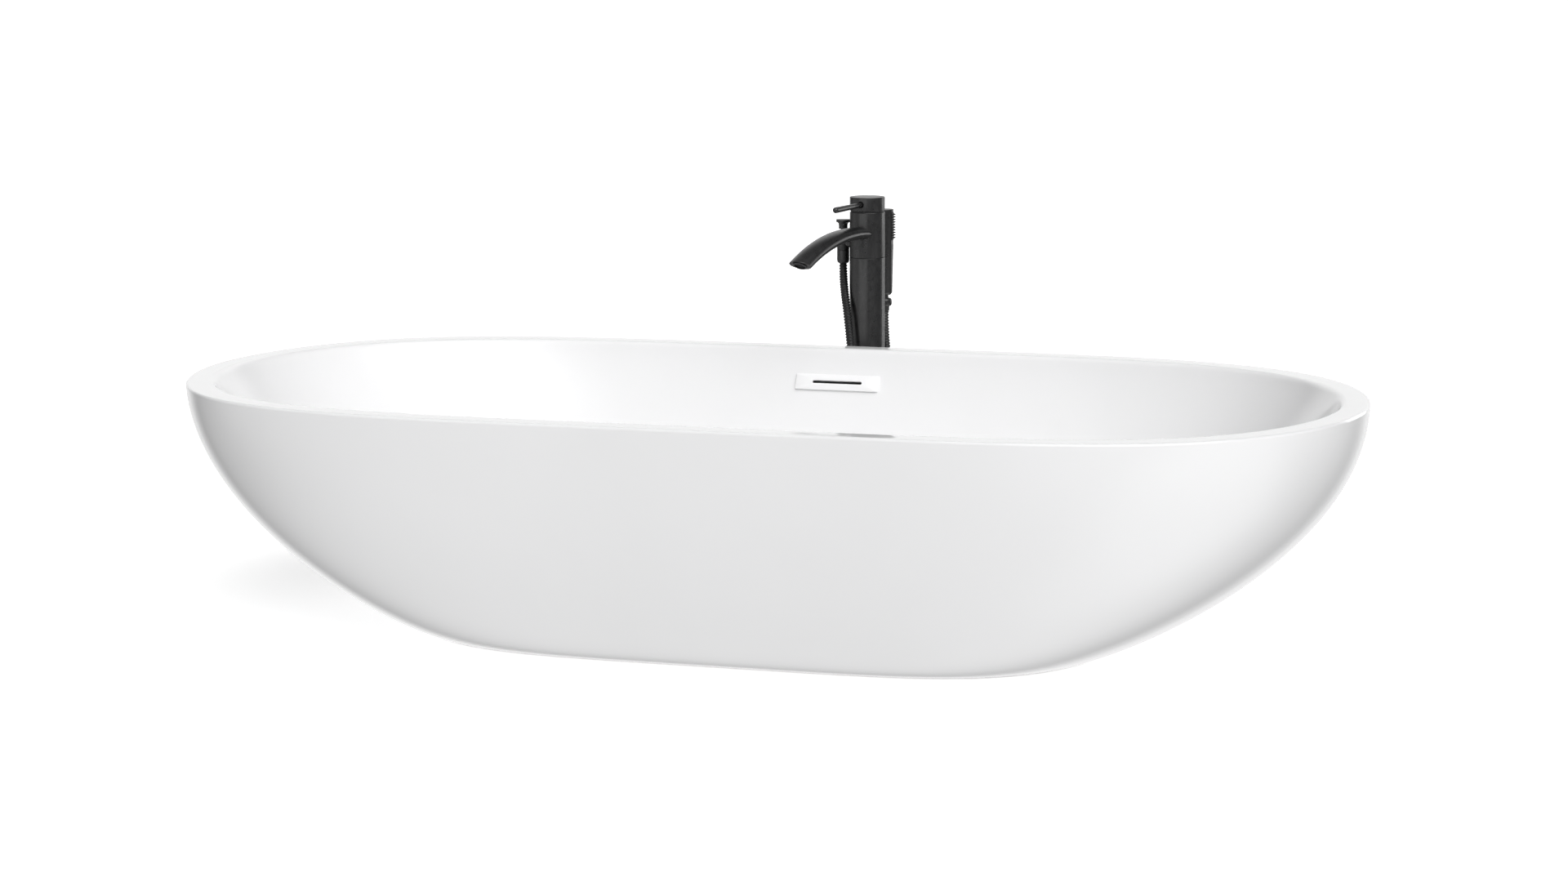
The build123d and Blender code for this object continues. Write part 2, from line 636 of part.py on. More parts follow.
# --- filler: diverter --------------------------------------------------------
DIVERTER_Z = (519.0, 541.0)
DIVERTER_ARM_Z = 530.0
BONNET_TOP = 546.0
KNOB_BOTTOM = 553.5
KNOB_TOP = 569.0
HOSE_NUT_TOP = DIVERTER_Z[0] - 0.3


def diverter_body():
    z0, z1 = DIVERTER_Z
    body = fillet(rod(DIVERTER_RADIUS, z0, z1).edges().group_by(Axis.Z)[-1], 1.5)
    body += rod(7, z1 - 2, BONNET_TOP) + rod(8, HOSE_TOP + 12, z0 + 1)
    body = Pos(DIVERTER_X, 0, 0) * body
    body += radial_rod(7.0, 0, -DIVERTER_X, DIVERTER_ARM_Z, -90) - rod(COLUMN_RADIUS, 400, 700)
    body += radial_rod(5.0, 18, 34, DIVERTER_ARM_Z, -90)
    bores = rod(6.6, z0 + 2, z1 - 3) + rod(STEM_RADIUS + RUNNING_GAP, z1 - 4, 600) + rod(4, 500, z0 + 3)
    body -= Pos(DIVERTER_X, 0, 0) * bores
    return in_filler(body - radial_rod(3.0, 10, -DIVERTER_X, DIVERTER_ARM_Z, -90))


def diverter_stem():
    stem = rod(STEM_RADIUS, 524, KNOB_BOTTOM + 5) + rod(6, 523, 526.5)
    return in_filler(Pos(DIVERTER_X, 0, 0) * stem)


def diverter_knob():
    profile = [(0, KNOB_BOTTOM), (6.6, KNOB_BOTTOM), (7.3, KNOB_BOTTOM + 0.8), (7.3, KNOB_TOP - 8.5),
               (8.2, KNOB_TOP - 6), (11.2, KNOB_TOP - 4.2), (11.7, KNOB_TOP - 3.6), (11.7, KNOB_TOP - 0.9),
               (11.0, KNOB_TOP), (0, KNOB_TOP)]
    return in_filler(turned(profile, DIVERTER_X) - rod(STEM_RADIUS, 500, KNOB_BOTTOM + 5, DIVERTER_X))


def outlet_hose_nut():
    z = HOSE_TOP
    profile = [(HOSE_RADIUS, z), (8.2, z), (9.6, z + 1.2), (9.6, z + 3), (DIVERTER_RADIUS, z + 3.6),
               (DIVERTER_RADIUS, HOSE_NUT_TOP), (8, HOSE_NUT_TOP), (8, z + 10), (HOSE_RADIUS, z + 10)]
    return in_filler(turned(profile, DIVERTER_X))


def hose_washers():
    outlet = ring(7.8, 3.5, HOSE_TOP + 10, HOSE_TOP + 12, DIVERTER_X)
    return in_filler(outlet)


def hose_ferrule():
    return in_filler(ring(HOSE_RADIUS, 4.5, HOSE_TOP, HOSE_TOP + 10, DIVERTER_X))


# --- filler: hand shower -----------------------------------------------------
CRADLE_MIDDLE = sum(CRADLE_Z) / 2
NUT_RADII = (7.2, 8.4)
NUT_Z = (HOSE_END, CRADLE_Z[1] + 0.5)
SEAT_GAP = 0.3
NECK_BOTTOM = 426.0
SPRAY_Z = (531.0, 579.0)
SPRAY_FLAT = 12.6
NOZZLE_ROWS = 10
NOZZLE_PITCH = 4.3
NOZZLE_COLUMNS = (-4.6, 0.0, 4.6)


def seat_radius(z):
    share = (z - NUT_Z[0]) / (NUT_Z[1] - NUT_Z[0])
    return NUT_RADII[0] + (NUT_RADII[1] - NUT_RADII[0]) * share


def handset_cradle():
    z0, z1 = CRADLE_Z
    r, mid = 12.0, CRADLE_MIDDLE
    low, high = seat_radius(z0) + SEAT_GAP, seat_radius(z1) + SEAT_GAP
    profile = [(low, z0), (r - 2.6, z0), (r - 0.8, z0 + 2), (r, mid),
               (r - 0.8, z1 - 2), (r - 2.6, z1), (high, z1)]
    holder = turned(profile, y=HANDSET_Y)
    arm = radial_rod(5.5, 20, HANDSET_Y - 9.5, mid, 180) - rod(COLUMN_RADIUS, 300, 500)
    holder += arm
    holder -= turned([(0, z0 - 1), (low, z0 - 1), (high, z1 + 1), (0, z1 + 1)], y=HANDSET_Y)
    return in_filler(holder - radial_rod(2.5, 20, 38, mid, 180))


def cradle_screw():
    screw = radial_rod(2.5, COLUMN_BORE - 2, 37, CRADLE_MIDDLE, 180)
    head = radial_rod(4.5, COLUMN_BORE - 5, COLUMN_BORE - 1.2, CRADLE_MIDDLE, 180)
    return in_filler(screw + head)


def handset_hose_nut():
    z0, z1 = NUT_Z
    nut = turned([(0, z0), (NUT_RADII[0], z0), (NUT_RADII[1], z1), (0, z1)], y=HANDSET_Y)
    nut -= rod(6, NECK_BOTTOM, z1 + 1, y=HANDSET_Y) + rod(4, z0 - 1, NECK_BOTTOM + 1, y=HANDSET_Y)
    return in_filler(nut)


def handset_body():
    z0, z1, r = HANDSET_BOTTOM, HANDSET_TOP, HANDSET_RADIUS
    profile = [(0, NECK_BOTTOM), (6, NECK_BOTTOM), (6, z0), (9.5, z0), (r - 1.8, z0 + 3.5),
               (r, SPRAY_Z[0] - 8), (r, z1 - 1.2), (r - 1.2, z1), (0, z1)]
    body = turned(profile) - rod(4, NECK_BOTTOM - 1, z1 - 8)
    body -= block(SPRAY_FLAT, 20, -8, 8, *SPRAY_Z)
    return in_handset(body)


def in_handset(shape):
    """From the handset's own frame, spray along +X, to the bath's."""
    return in_filler(Pos(0, HANDSET_Y, 0) * Rot(0, 0, -FILLER_TURN) * shape)


def spray_face():
    plate = block(SPRAY_FLAT, HANDSET_RADIUS - 0.2, -6, 6, *SPRAY_Z)
    middle = (SPRAY_Z[0] + SPRAY_Z[1]) / 2
    for row in range(NOZZLE_ROWS):
        z = middle + (row - (NOZZLE_ROWS - 1) / 2) * NOZZLE_PITCH
        for y in NOZZLE_COLUMNS:
            nozzle = Rot(0, 90, 0) * Cone(1.1, 0.7, 3.6)
            plate += Pos(HANDSET_RADIUS + 1.4, y, z) * nozzle
    return in_handset(plate)


def place(x, y):
    """A point in the filler's frame, in the bath's."""
    turn = radians(FILLER_TURN)
    return x * cos(turn) - y * sin(turn), FILLER_Y + x * sin(turn) + y * cos(turn)


OUTLET = place(DIVERTER_X, 0)
INLET = place(0, HANDSET_Y)
FLOOR_Z = HOSE_RADIUS + 1

# The hose hangs past the column, lies in a loop under the bath's overhang and rises to the handset.
HOSE_ROUTE = [
    (*OUTLET, HOSE_TOP), (*OUTLET, 486), (-37.5, 570, 458), (-27, 549, 425), (-20.5, 541.5, 385),
    (-15.5, 537.5, 345), (-7.5, 533, 285), (-2, 522, 210), (-8, 512, 138), (-34, 505, 76),
    (-74, 499, 32), (-126, 480, 10), (-163, 434, FLOOR_Z), (-160, 374, FLOOR_Z),
    (-116, 334, FLOOR_Z), (-52, 326, FLOOR_Z), (10, 336, FLOOR_Z), (66, 368, FLOOR_Z),
    (96, 424, FLOOR_Z), (104, 490, FLOOR_Z), (98, 552, 34), (84, 598, 88), (66, 626, 152),
    (44, 641, 226), (25, 645, 300), (*INLET, 362), (*INLET, HOSE_END),
]


def hose_radii():
    points = [Vector(*p) for p in HOSE_ROUTE]
    radii = []
    for before, here, after in zip(points, points[1:], points[2:]):
        into, out = here - before, after - here
        half_turn = radians(into.get_angle(out)) / 2
        radii.append(0.45 * min(into.length, out.length) / tan(half_turn))
    return radii


def shower_hose():
    radii = hose_radii()
    print("hose radii:", [round(r) for r in radii])
    path = FilletPolyline(*HOSE_ROUTE, radius=radii)
    tube = swept_tube(path, HOSE_RADIUS)
    print("hose length:", round(path.length), "volume share:",
          round(tube.volume / (pi * HOSE_RADIUS**2 * path.length), 4))
    return tube


PARTS = [
    bath_shell, outer_skirt, rim_batten, base_board, support_frame, frame_screws, foot_rods, foot_nuts,
    foot_pads, drain_flange, drain_gasket, drain_washer, drain_lock_nut, drain_spider, stopper_cap,
    stopper_stem, stopper_seal, waste_elbow, overflow_pipe, pipe_nuts, overflow_plate, overflow_gasket,
    overflow_housing, overflow_screws, floor_flange, floor_cover, column_tube, column_screws,
    supply_inlets, supply_hoses, valve_body, cartridge_body, cartridge_nut, glide_ring, lever_head,
    lever_bar, lever_grub_screw, cartridge_stem, spout, aerator_housing, aerator_screen, diverter_body,
    diverter_stem, diverter_knob, outlet_hose_nut, hose_washers, hose_ferrule, handset_cradle,
    cradle_screw, handset_hose_nut, handset_body, spray_face, shower_hose,
]

for make in PARTS:
    save(make.__name__, make())

print("wall slope at the overflow:", round(degrees(atan(WALL.z_dir.Z / -WALL.z_dir.Y)), 1))
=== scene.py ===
import json
from math import cos, pi, radians, sin

import bpy
import bmesh
import numpy as np
from mathutils import Matrix, Vector


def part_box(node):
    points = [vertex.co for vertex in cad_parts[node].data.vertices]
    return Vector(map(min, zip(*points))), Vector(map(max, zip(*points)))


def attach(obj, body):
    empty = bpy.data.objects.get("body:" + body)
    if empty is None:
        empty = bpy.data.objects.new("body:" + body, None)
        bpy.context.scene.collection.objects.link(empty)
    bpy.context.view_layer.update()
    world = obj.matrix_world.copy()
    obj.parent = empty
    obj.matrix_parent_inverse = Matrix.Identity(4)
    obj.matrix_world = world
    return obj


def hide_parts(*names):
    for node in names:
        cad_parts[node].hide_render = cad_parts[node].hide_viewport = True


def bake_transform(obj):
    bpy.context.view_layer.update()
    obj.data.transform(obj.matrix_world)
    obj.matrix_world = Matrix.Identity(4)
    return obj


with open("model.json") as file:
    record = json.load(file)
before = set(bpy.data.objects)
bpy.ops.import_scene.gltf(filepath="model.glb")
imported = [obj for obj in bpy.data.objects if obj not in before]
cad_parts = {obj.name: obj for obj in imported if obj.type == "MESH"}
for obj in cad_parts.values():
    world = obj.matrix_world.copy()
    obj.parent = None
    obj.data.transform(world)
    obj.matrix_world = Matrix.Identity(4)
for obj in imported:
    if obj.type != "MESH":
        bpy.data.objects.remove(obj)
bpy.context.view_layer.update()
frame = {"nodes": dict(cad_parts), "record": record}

MM = 0.001
AROUND = 288                  # points round the bath
OVAL_SAMPLES = 3001           # points tried round an oval before it is divided evenly
OVAL_HALVINGS = 36

# --- sizes, from the frame ---------------------------------------------------
shell_low, shell_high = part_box("bath_shell")
skirt_low, skirt_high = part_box("outer_skirt")
HALF_LENGTH, HALF_WIDTH, HEIGHT = shell_high.x, -shell_low.y, shell_high.z
SKIRT_BOTTOM, SKIRT_TOP = skirt_low.z, skirt_high.z
WALL = 6 * MM                 # thickness of the acrylic
SKIRT_WALL = 5 * MM
BASIN_FLOOR = shell_low.z + WALL
RIM_POWERS = (4.82, 1.89)     # powers of x and y in the rim's oval
BASE_POWERS = (4.60, 1.80)    # the same at the floor
BASE_HALF = (527.5 * MM, 262.5 * MM)
LENGTH_CURVE = (1.98, 1.16)   # how the outside widens with height, see rise()
WIDTH_CURVE = (1.43, 1.82)
BASIN_BASE_HALF = (480 * MM, 165 * MM)
BASIN_CURVE = (1.15, 1.60)
RIM_DECK = 40 * MM            # width of the flat rim
RIM_OUTER_ROUND = 5 * MM
RIM_INNER_ROUND = 9 * MM

OVERFLOW_TILT = 26.9          # degrees the basin wall leans out at the overflow
PLATE_LENGTH, PLATE_WIDTH, PLATE_THICK = 138.0, 27.0, 4.0
SLOT_LENGTH, SLOT_WIDTH = 82.0, 5.0
OPENING_LENGTH, OPENING_WIDTH = 92.0, 13.0
OPENING_DEPTHS = (-26, 8)     # behind and before the plate's middle

flange_low, flange_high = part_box("drain_flange")
DRAIN = Vector(((flange_low.x + flange_high.x) / 2, (flange_low.y + flange_high.y) / 2, BASIN_FLOOR))
DRAIN_HOLE = 24.5 * MM

column_low, column_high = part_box("column_tube")
FILLER = Vector(((column_low.x + column_high.x) / 2, (column_low.y + column_high.y) / 2, 0))
COLUMN_RADIUS = (column_high.x - column_low.x) / 2
FILLER_TURN = radians(-13)    # the spout's turn from straight across the bath
LEVER_TURN = radians(-7.7)


def heights(node):
    """A node's lowest and highest point, in mm."""
    return (corner.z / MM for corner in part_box(node))


def half_width(node):
    """Half a node's length along X, in mm."""
    low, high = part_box(node)
    return (high.x - low.x) / 2 / MM


# --- mesh helpers ------------------------------------------------------------
def new_object(name, points, faces):
    mesh = bpy.data.meshes.new(name)
    mesh.from_pydata([tuple(p) for p in points], [], faces)
    mesh.update()
    obj = bpy.data.objects.new(name, mesh)
    bpy.context.scene.collection.objects.link(obj)
    mesh.polygons.foreach_set("use_smooth", [True] * len(mesh.polygons))
    return obj


def skin(name, rings, close_ends=False, loop=False):
    """A surface through rings that have the same number of points; loop joins the last to the first."""
    count, total = len(rings[0]), len(rings)
    points = [p for ring in rings for p in ring]
    faces = []
    for i in range(total if loop else total - 1):
        a, b = i * count, (i + 1) % total * count
        for k in range(count):
            n = (k + 1) % count
            faces.append((a + k, a + n, b + n, b + k))
    if close_ends:
        faces.append(tuple(reversed(range(count))))
        faces.append(tuple((total - 1) * count + k for k in range(count)))
    obj = new_object(name, points, faces)
    tidy_normals(obj)
    return obj


def tidy_normals(obj):
    work = bmesh.new()
    work.from_mesh(obj.data)
    bmesh.ops.recalc_face_normals(work, faces=work.faces)
    work.to_mesh(obj.data)
    work.free()


def rounded(corners, steps=4):
    """(radius, z, round) corners of a section; a corner with a round becomes an arc-like curve."""
    out = []
    for i, corner in enumerate(corners):
        here = np.array(corner[:2], float)
        size = corner[2] if len(corner) > 2 else 0
        if not size or i in (0, len(corners) - 1):
            out.append(tuple(here))
            continue
        before, after = np.array(corners[i - 1][:2], float), np.array(corners[i + 1][:2], float)
        a = here + (before - here) / np.linalg.norm(before - here) * size
        b = here + (after - here) / np.linalg.norm(after - here) * size
        for t in np.linspace(0, 1, steps + 1):
            out.append(tuple((1 - t) ** 2 * a + 2 * t * (1 - t) * here + t**2 * b))
    return out


def lathe(name, corners, sides=96, steps=4):
    """A turned solid about Z from (radius, z[, round]) corners in mm, from the axis back to the axis."""
    section = [(max(r, 0.001), z) for r, z in rounded(corners, steps)]
    turn = np.linspace(0, 2 * pi, sides, endpoint=False)
    rings = [[(r * MM * cos(t), r * MM * sin(t), z * MM) for t in turn] for r, z in section]
    return skin(name, rings, close_ends=True)


def lathe_ring(name, corners, sides=96):
    """A turned ring from a closed run of (radius, z) corners in mm; the first and last stay sharp."""
    turn = np.linspace(0, 2 * pi, sides, endpoint=False)
    rings = [[(r * MM * cos(t), r * MM * sin(t), z * MM) for t in turn] for r, z in rounded(corners)]
    return skin(name, rings, loop=True)


def sharp_edges(obj, degrees=32):
    """Smooth shading that stops at real edges."""
    obj.data.set_sharp_from_angle(angle=radians(degrees))


def in_place(obj, x=0.0, y=0.0, turn=FILLER_TURN):
    """From the filler's own frame to the bath's; x and y are in mm."""
    local = Matrix.Translation((x * MM, y * MM, 0))
    obj.data.transform(Matrix.Translation(FILLER) @ Matrix.Rotation(turn, 4, "Z") @ local)


def place(x, y):
    """A point of the filler's frame, in mm, as x and y in the bath's frame."""
    c, s = cos(FILLER_TURN), sin(FILLER_TURN)
    return FILLER.x + (x * c - y * s) * MM, FILLER.y + (x * s + y * c) * MM


def flat_ring(outline, z):
    """An outline of (x, y) points in mm, at a height in mm."""
    return [(x * MM, y * MM, z * MM) for x, y in outline]


def subtract(obj, cutter):
    cut = obj.modifiers.new("cut", "BOOLEAN")
    cut.operation, cut.object, cut.solver = "DIFFERENCE", cutter, "EXACT"
    bpy.context.view_layer.objects.active = obj
    bpy.ops.object.modifier_apply(modifier="cut")
    bpy.data.objects.remove(cutter)


def join(name, objs):
    """One object from several, as they stand."""
    work = bmesh.new()
    for obj in objs:
        work.from_mesh(obj.data)
        bpy.data.objects.remove(obj)
    mesh = bpy.data.meshes.new(name)
    work.to_mesh(mesh)
    work.free()
    obj = bpy.data.objects.new(name, mesh)
    bpy.context.scene.collection.objects.link(obj)
    return obj


# --- materials ---------------------------------------------------------------
def material(name, color, roughness, metallic=0.0, coat=0.0, ior=1.5):
    mat = bpy.data.materials.new(name)
    mat.use_nodes = True
    shader = mat.node_tree.nodes["Principled BSDF"]
    shader.inputs["Base Color"].default_value = (*color, 1)
    shader.inputs["Roughness"].default_value = roughness
    shader.inputs["Metallic"].default_value = metallic
    shader.inputs["Coat Weight"].default_value = coat
    shader.inputs["Coat Roughness"].default_value = 0.04
    shader.inputs["IOR"].default_value = ior
    return mat, mat.node_tree, shader


def noise(tree, scale, detail=3.0, stretch=(1, 1, 1)):
    """A noise texture in the object's own metres."""
    coords = tree.nodes.new("ShaderNodeTexCoord")
    mapping = tree.nodes.new("ShaderNodeMapping")
    mapping.inputs["Scale"].default_value = stretch
    texture = tree.nodes.new("ShaderNodeTexNoise")
    texture.inputs["Scale"].default_value = scale
    texture.inputs["Detail"].default_value = detail
    tree.links.new(coords.outputs["Object"], mapping.inputs["Vector"])
    tree.links.new(mapping.outputs["Vector"], texture.inputs["Vector"])
    return texture.outputs["Fac"]


def vary_roughness(tree, shader, source, low, high):
    spread = tree.nodes.new("ShaderNodeMapRange")
    spread.inputs["From Min"].default_value = 0.3
    spread.inputs["From Max"].default_value = 0.7
    spread.inputs["To Min"].default_value = low
    spread.inputs["To Max"].default_value = high
    tree.links.new(source, spread.inputs["Value"])
    tree.links.new(spread.outputs["Result"], shader.inputs["Roughness"])


def vary_color(tree, shader, source, first, second):
    ramp = tree.nodes.new("ShaderNodeValToRGB")
    ramp.color_ramp.elements[0].position = 0.35
    ramp.color_ramp.elements[1].position = 0.65
    ramp.color_ramp.elements[0].color = (*first, 1)
    ramp.color_ramp.elements[1].color = (*second, 1)
    tree.links.new(source, ramp.inputs["Fac"])
    tree.links.new(ramp.outputs["Color"], shader.inputs["Base Color"])


def add_bump(tree, shader, source, strength, distance):
    bump = tree.nodes.new("ShaderNodeBump")
    bump.inputs["Strength"].default_value = strength
    bump.inputs["Distance"].default_value = distance
    tree.links.new(source, bump.inputs["Height"])
    tree.links.new(bump.outputs["Normal"], shader.inputs["Normal"])


def acrylic(name, roughness, white):
    """Glossy white sanitary acrylic: a faint long-wave unevenness and light smears in the gloss."""
    light, dark = (white, white, white + 0.005), (white - 0.02, white - 0.019, white - 0.015)
    mat, tree, shader = material(name, light, roughness, coat=0.35, ior=1.49)
    vary_color(tree, shader, noise(tree, 3.0), dark, light)
    vary_roughness(tree, shader, noise(tree, 14.0, 4.0), roughness * 0.8, roughness * 1.35)
    add_bump(tree, shader, noise(tree, 22.0, 1.0), 0.06, 0.0006)
    return mat


def black_coat(name):
    """Matt black powder coat: fine grain, with slight changes of tone and gloss."""
    mat, tree, shader = material(name, (0.008, 0.008, 0.0085), 0.3, ior=1.6)
    vary_color(tree, shader, noise(tree, 60.0, 5.0), (0.006, 0.006, 0.0064), (0.011, 0.011, 0.0115))
    vary_roughness(tree, shader, noise(tree, 120.0, 4.0), 0.26, 0.35)
    add_bump(tree, shader, noise(tree, 2600.0, 2.0), 0.12, 0.0002)
    return mat


def moulded(name, color, roughness=0.5, grain=900.0):
    mat, tree, shader = material(name, color, roughness)
    darker = tuple(c * 0.86 for c in color)
    vary_color(tree, shader, noise(tree, 40.0, 4.0), darker, color)
    vary_roughness(tree, shader, noise(tree, 90.0), roughness * 0.85, min(roughness * 1.2, 1))
    add_bump(tree, shader, noise(tree, grain), 0.15, 0.0003)
    return mat


def metal(name, color, roughness, stretch=(1, 1, 30)):
    """Bare metal with fine drawn lines."""
    mat, tree, shader = material(name, color, roughness, metallic=1.0)
    darker = tuple(c * 0.8 for c in color)
    vary_color(tree, shader, noise(tree, 35.0, 4.0), darker, color)
    vary_roughness(tree, shader, noise(tree, 120.0, 4.0, stretch), roughness * 0.7, roughness * 1.4)
    add_bump(tree, shader, noise(tree, 400.0, 2.0, stretch), 0.1, 0.0002)
    return mat


def board(name):
    """Resin-sealed plywood."""
    mat, tree, shader = material(name, (0.55, 0.4, 0.24), 0.6)
    vary_color(tree, shader, noise(tree, 9.0, 6.0, (1, 7, 7)), (0.42, 0.29, 0.16), (0.62, 0.47, 0.3))
    add_bump(tree, shader, noise(tree, 40.0, 4.0, (1, 9, 9)), 0.3, 0.0006)
    return mat


MATERIALS = {
    "acrylic": acrylic("acrylic_white", 0.1, 0.905),
    "white_trim": acrylic("trim_white", 0.14, 0.97),
    "black_metal": black_coat("black_coat"),
    "black_hose": moulded("black_hose", (0.012, 0.012, 0.0125), 0.4),
    "black_trim": moulded("black_trim", (0.012, 0.012, 0.0125), 0.5),
    "steel": metal("zinc_steel", (0.6, 0.61, 0.63), 0.35),
    "brass": metal("brass", (0.76, 0.57, 0.28), 0.28),
    "rubber": moulded("rubber_black", (0.03, 0.03, 0.03), 0.7, 500.0),
    "grey_plastic": moulded("grey_plastic", (0.42, 0.43, 0.44), 0.5),
    "board": board("sealed_board"),
}


def dress(obj, slot, body, *nodes):
    """Gives a new piece the material of its slot and its body, and hides the CAD nodes that it stands
    for.
    """
    obj.data.materials.clear()
    obj.data.materials.append(MATERIALS[slot])
    if body:
        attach(obj, body)
    if nodes:
        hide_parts(*nodes)


def dress_frame():
    """Every CAD node that stays gets the material of its slot."""
    slots = {part["node"]: part["material_slot"] for part in frame["record"]["subparts"]}
    for name, node in frame["nodes"].items():
        node.data.materials.clear()
        node.data.materials.append(MATERIALS[slots[name]])


# --- the bath's shape --------------------------------------------------------
def rise(t, curve):
    """From 0 at the bottom to 1 at the top, fast at first."""
    return (1 - (1 - t) ** curve[0]) ** (1 / curve[1])


def outside_at(z):
    """Half length, half width and powers of the outer wall's oval at height z."""
    t = min(z / HEIGHT, 1.0)
    a = BASE_HALF[0] + (HALF_LENGTH - BASE_HALF[0]) * rise(t, LENGTH_CURVE)
    b = BASE_HALF[1] + (HALF_WIDTH - BASE_HALF[1]) * rise(t, WIDTH_CURVE)
    powers = tuple(u + (v - u) * t for u, v in zip(BASE_POWERS, RIM_POWERS))
    return a, b, powers


def basin_at(z):
    """The same for the basin."""
    t = min((z - BASIN_FLOOR) / (HEIGHT - BASIN_FLOOR), 1.0)
    grow = rise(t, BASIN_CURVE)
    a = BASIN_BASE_HALF[0] + (HALF_LENGTH - RIM_DECK - BASIN_BASE_HALF[0]) * grow
    b = BASIN_BASE_HALF[1] + (HALF_WIDTH - RIM_DECK - BASIN_BASE_HALF[1]) * grow
    return a, b, RIM_POWERS


def oval(a, b, powers, z):
    """Points spaced evenly round |x/a|^p + |y/b|^q = 1 at height z."""
    p, q = powers
    turn = np.linspace(0, 2 * pi, OVAL_SAMPLES)
    c, s = np.cos(turn), np.sin(turn)
    low, high = np.zeros_like(turn), np.full_like(turn, 1.5)
    for _ in range(OVAL_HALVINGS):
        middle = (low + high) / 2
        inside = np.abs(middle * c) ** p + np.abs(middle * s) ** q < 1
        low, high = np.where(inside, middle, low), np.where(inside, high, middle)
    x, y = a * low * c, b * low * s
    along = np.concatenate([[0], np.cumsum(np.hypot(np.diff(x), np.diff(y)))])
    at = np.linspace(0, along[-1], AROUND, endpoint=False)
    return np.stack([np.interp(at, along, x), np.interp(at, along, y), np.full(AROUND, z)], 1)


def curve_between(first, corner, last, steps):
    """Ring sizes (a, b, z) along a smooth curve from first to last that heads for corner."""
    out = []
    for t in np.linspace(0, 1, steps + 1):
        mix = [(1 - t) ** 2 * f + 2 * t * (1 - t) * c + t**2 * e for f, c, e in zip(first, corner, last)]
        out.append(tuple(mix))
    return out


def rim_sizes(inset, z):
    return HALF_LENGTH - inset, HALF_WIDTH - inset, z


def rim_oval(inset, z):
    a, b, z = rim_sizes(inset, z)
    return oval(a, b, RIM_POWERS, z)


def rim_rings():
    """Up the lip, over the deck and round into the basin."""
    rings = [oval(*outside_at(z), z) for z in np.linspace(SKIRT_TOP, HEIGHT - RIM_OUTER_ROUND, 5)]
    outer = curve_between(rim_sizes(0, HEIGHT - RIM_OUTER_ROUND), rim_sizes(0, HEIGHT),
                          rim_sizes(RIM_OUTER_ROUND, HEIGHT), 8)
    rings += [oval(a, b, RIM_POWERS, z) for a, b, z in outer[1:]]
    rings += [rim_oval(share * RIM_DECK, HEIGHT) for share in (0.3, 0.55)]
    a, b, _ = basin_at(HEIGHT - RIM_INNER_ROUND)
    inner = curve_between(rim_sizes(RIM_DECK - 0.8 * RIM_INNER_ROUND, HEIGHT),
                          rim_sizes(RIM_DECK, HEIGHT), (a, b, HEIGHT - RIM_INNER_ROUND), 10)
    return rings + [oval(x, y, RIM_POWERS, z) for x, y, z in inner]


def drain_circle(edge):
    """The drain hole, with its points in step with those of the basin's lowest ring."""
    turn = np.arctan2(edge[:, 1], edge[:, 0])
    x, y = DRAIN.x + DRAIN_HOLE * np.cos(turn), DRAIN.y + DRAIN_HOLE * np.sin(turn)
    return np.stack([x, y, np.full(AROUND, BASIN_FLOOR)], 1)


def bath_shell():
    """The basin, its rim deck and the rim's down-turned lip, as one closed acrylic sheet."""
    rings = rim_rings()
    levels = BASIN_FLOOR + (HEIGHT - RIM_INNER_ROUND - BASIN_FLOOR) * np.linspace(1, 0, 72)[1:] ** 1.6
    rings += [oval(*basin_at(z), z) for z in levels]
    edge = rings[-1]
    hole = drain_circle(edge)
    rings += [edge + (hole - edge) * t for t in np.linspace(0, 1, 12)[1:]]
    down = np.array([0, 0, -WALL])
    rings.append(hole + down)
    rings += [edge + (hole - edge) * t + down for t in (0.6, 0.2)]
    for z in levels[::-6]:
        a, b, powers = basin_at(z)
        rings.append(oval(a + WALL, b + WALL, powers, z - WALL))
    rings += [rim_oval(inset, HEIGHT - WALL) for inset in (0.8 * RIM_DECK, WALL)]
    rings.append(rim_oval(WALL, SKIRT_TOP))
    shell = skin("bath_shell_acrylic", rings, loop=True)
    subtract(shell, overflow_opening())
    sharp_edges(shell, 50)
    dress(shell, "acrylic", "bath", "bath_shell")


def overflow_matrix():
    """From the overflow plate's own frame, Z out of the wall and Y up it, to the bath's."""
    low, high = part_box("overflow_plate")
    return Matrix.Translation((low + high) / 2) @ Matrix.Rotation(pi / 2 - radians(OVERFLOW_TILT), 4, "X")


def overflow_opening():
    """A stadium-shaped block that cuts the overflow's way out of the wall."""
    outline = rounded_rectangle(OPENING_LENGTH, OPENING_WIDTH, OPENING_WIDTH / 2, 48)
    block = skin("opening", [flat_ring(outline, z) for z in OPENING_DEPTHS], close_ends=True)
    block.data.transform(overflow_matrix())
    return block


def outer_skirt():
    """The outer wall, a thick sheet all round with nothing under it."""
    levels = SKIRT_BOTTOM + (SKIRT_TOP - SKIRT_BOTTOM) * np.linspace(0, 1, 80) ** 1.7
    rings = [oval(*outside_at(z), z) for z in levels]
    lift = SKIRT_WALL - 1 * MM
    for z in levels[::-5]:
        a, b, powers = outside_at(z)
        rings.append(oval(a - SKIRT_WALL, b - SKIRT_WALL, powers, min(z + lift, SKIRT_TOP)))
    a, b, powers = outside_at(SKIRT_BOTTOM)
    rings.append(oval(a - SKIRT_WALL, b - SKIRT_WALL, powers, SKIRT_BOTTOM))
    skirt = skin("bath_skirt_acrylic", rings, loop=True)
    sharp_edges(skirt, 50)
    dress(skirt, "acrylic", "bath", "outer_skirt")


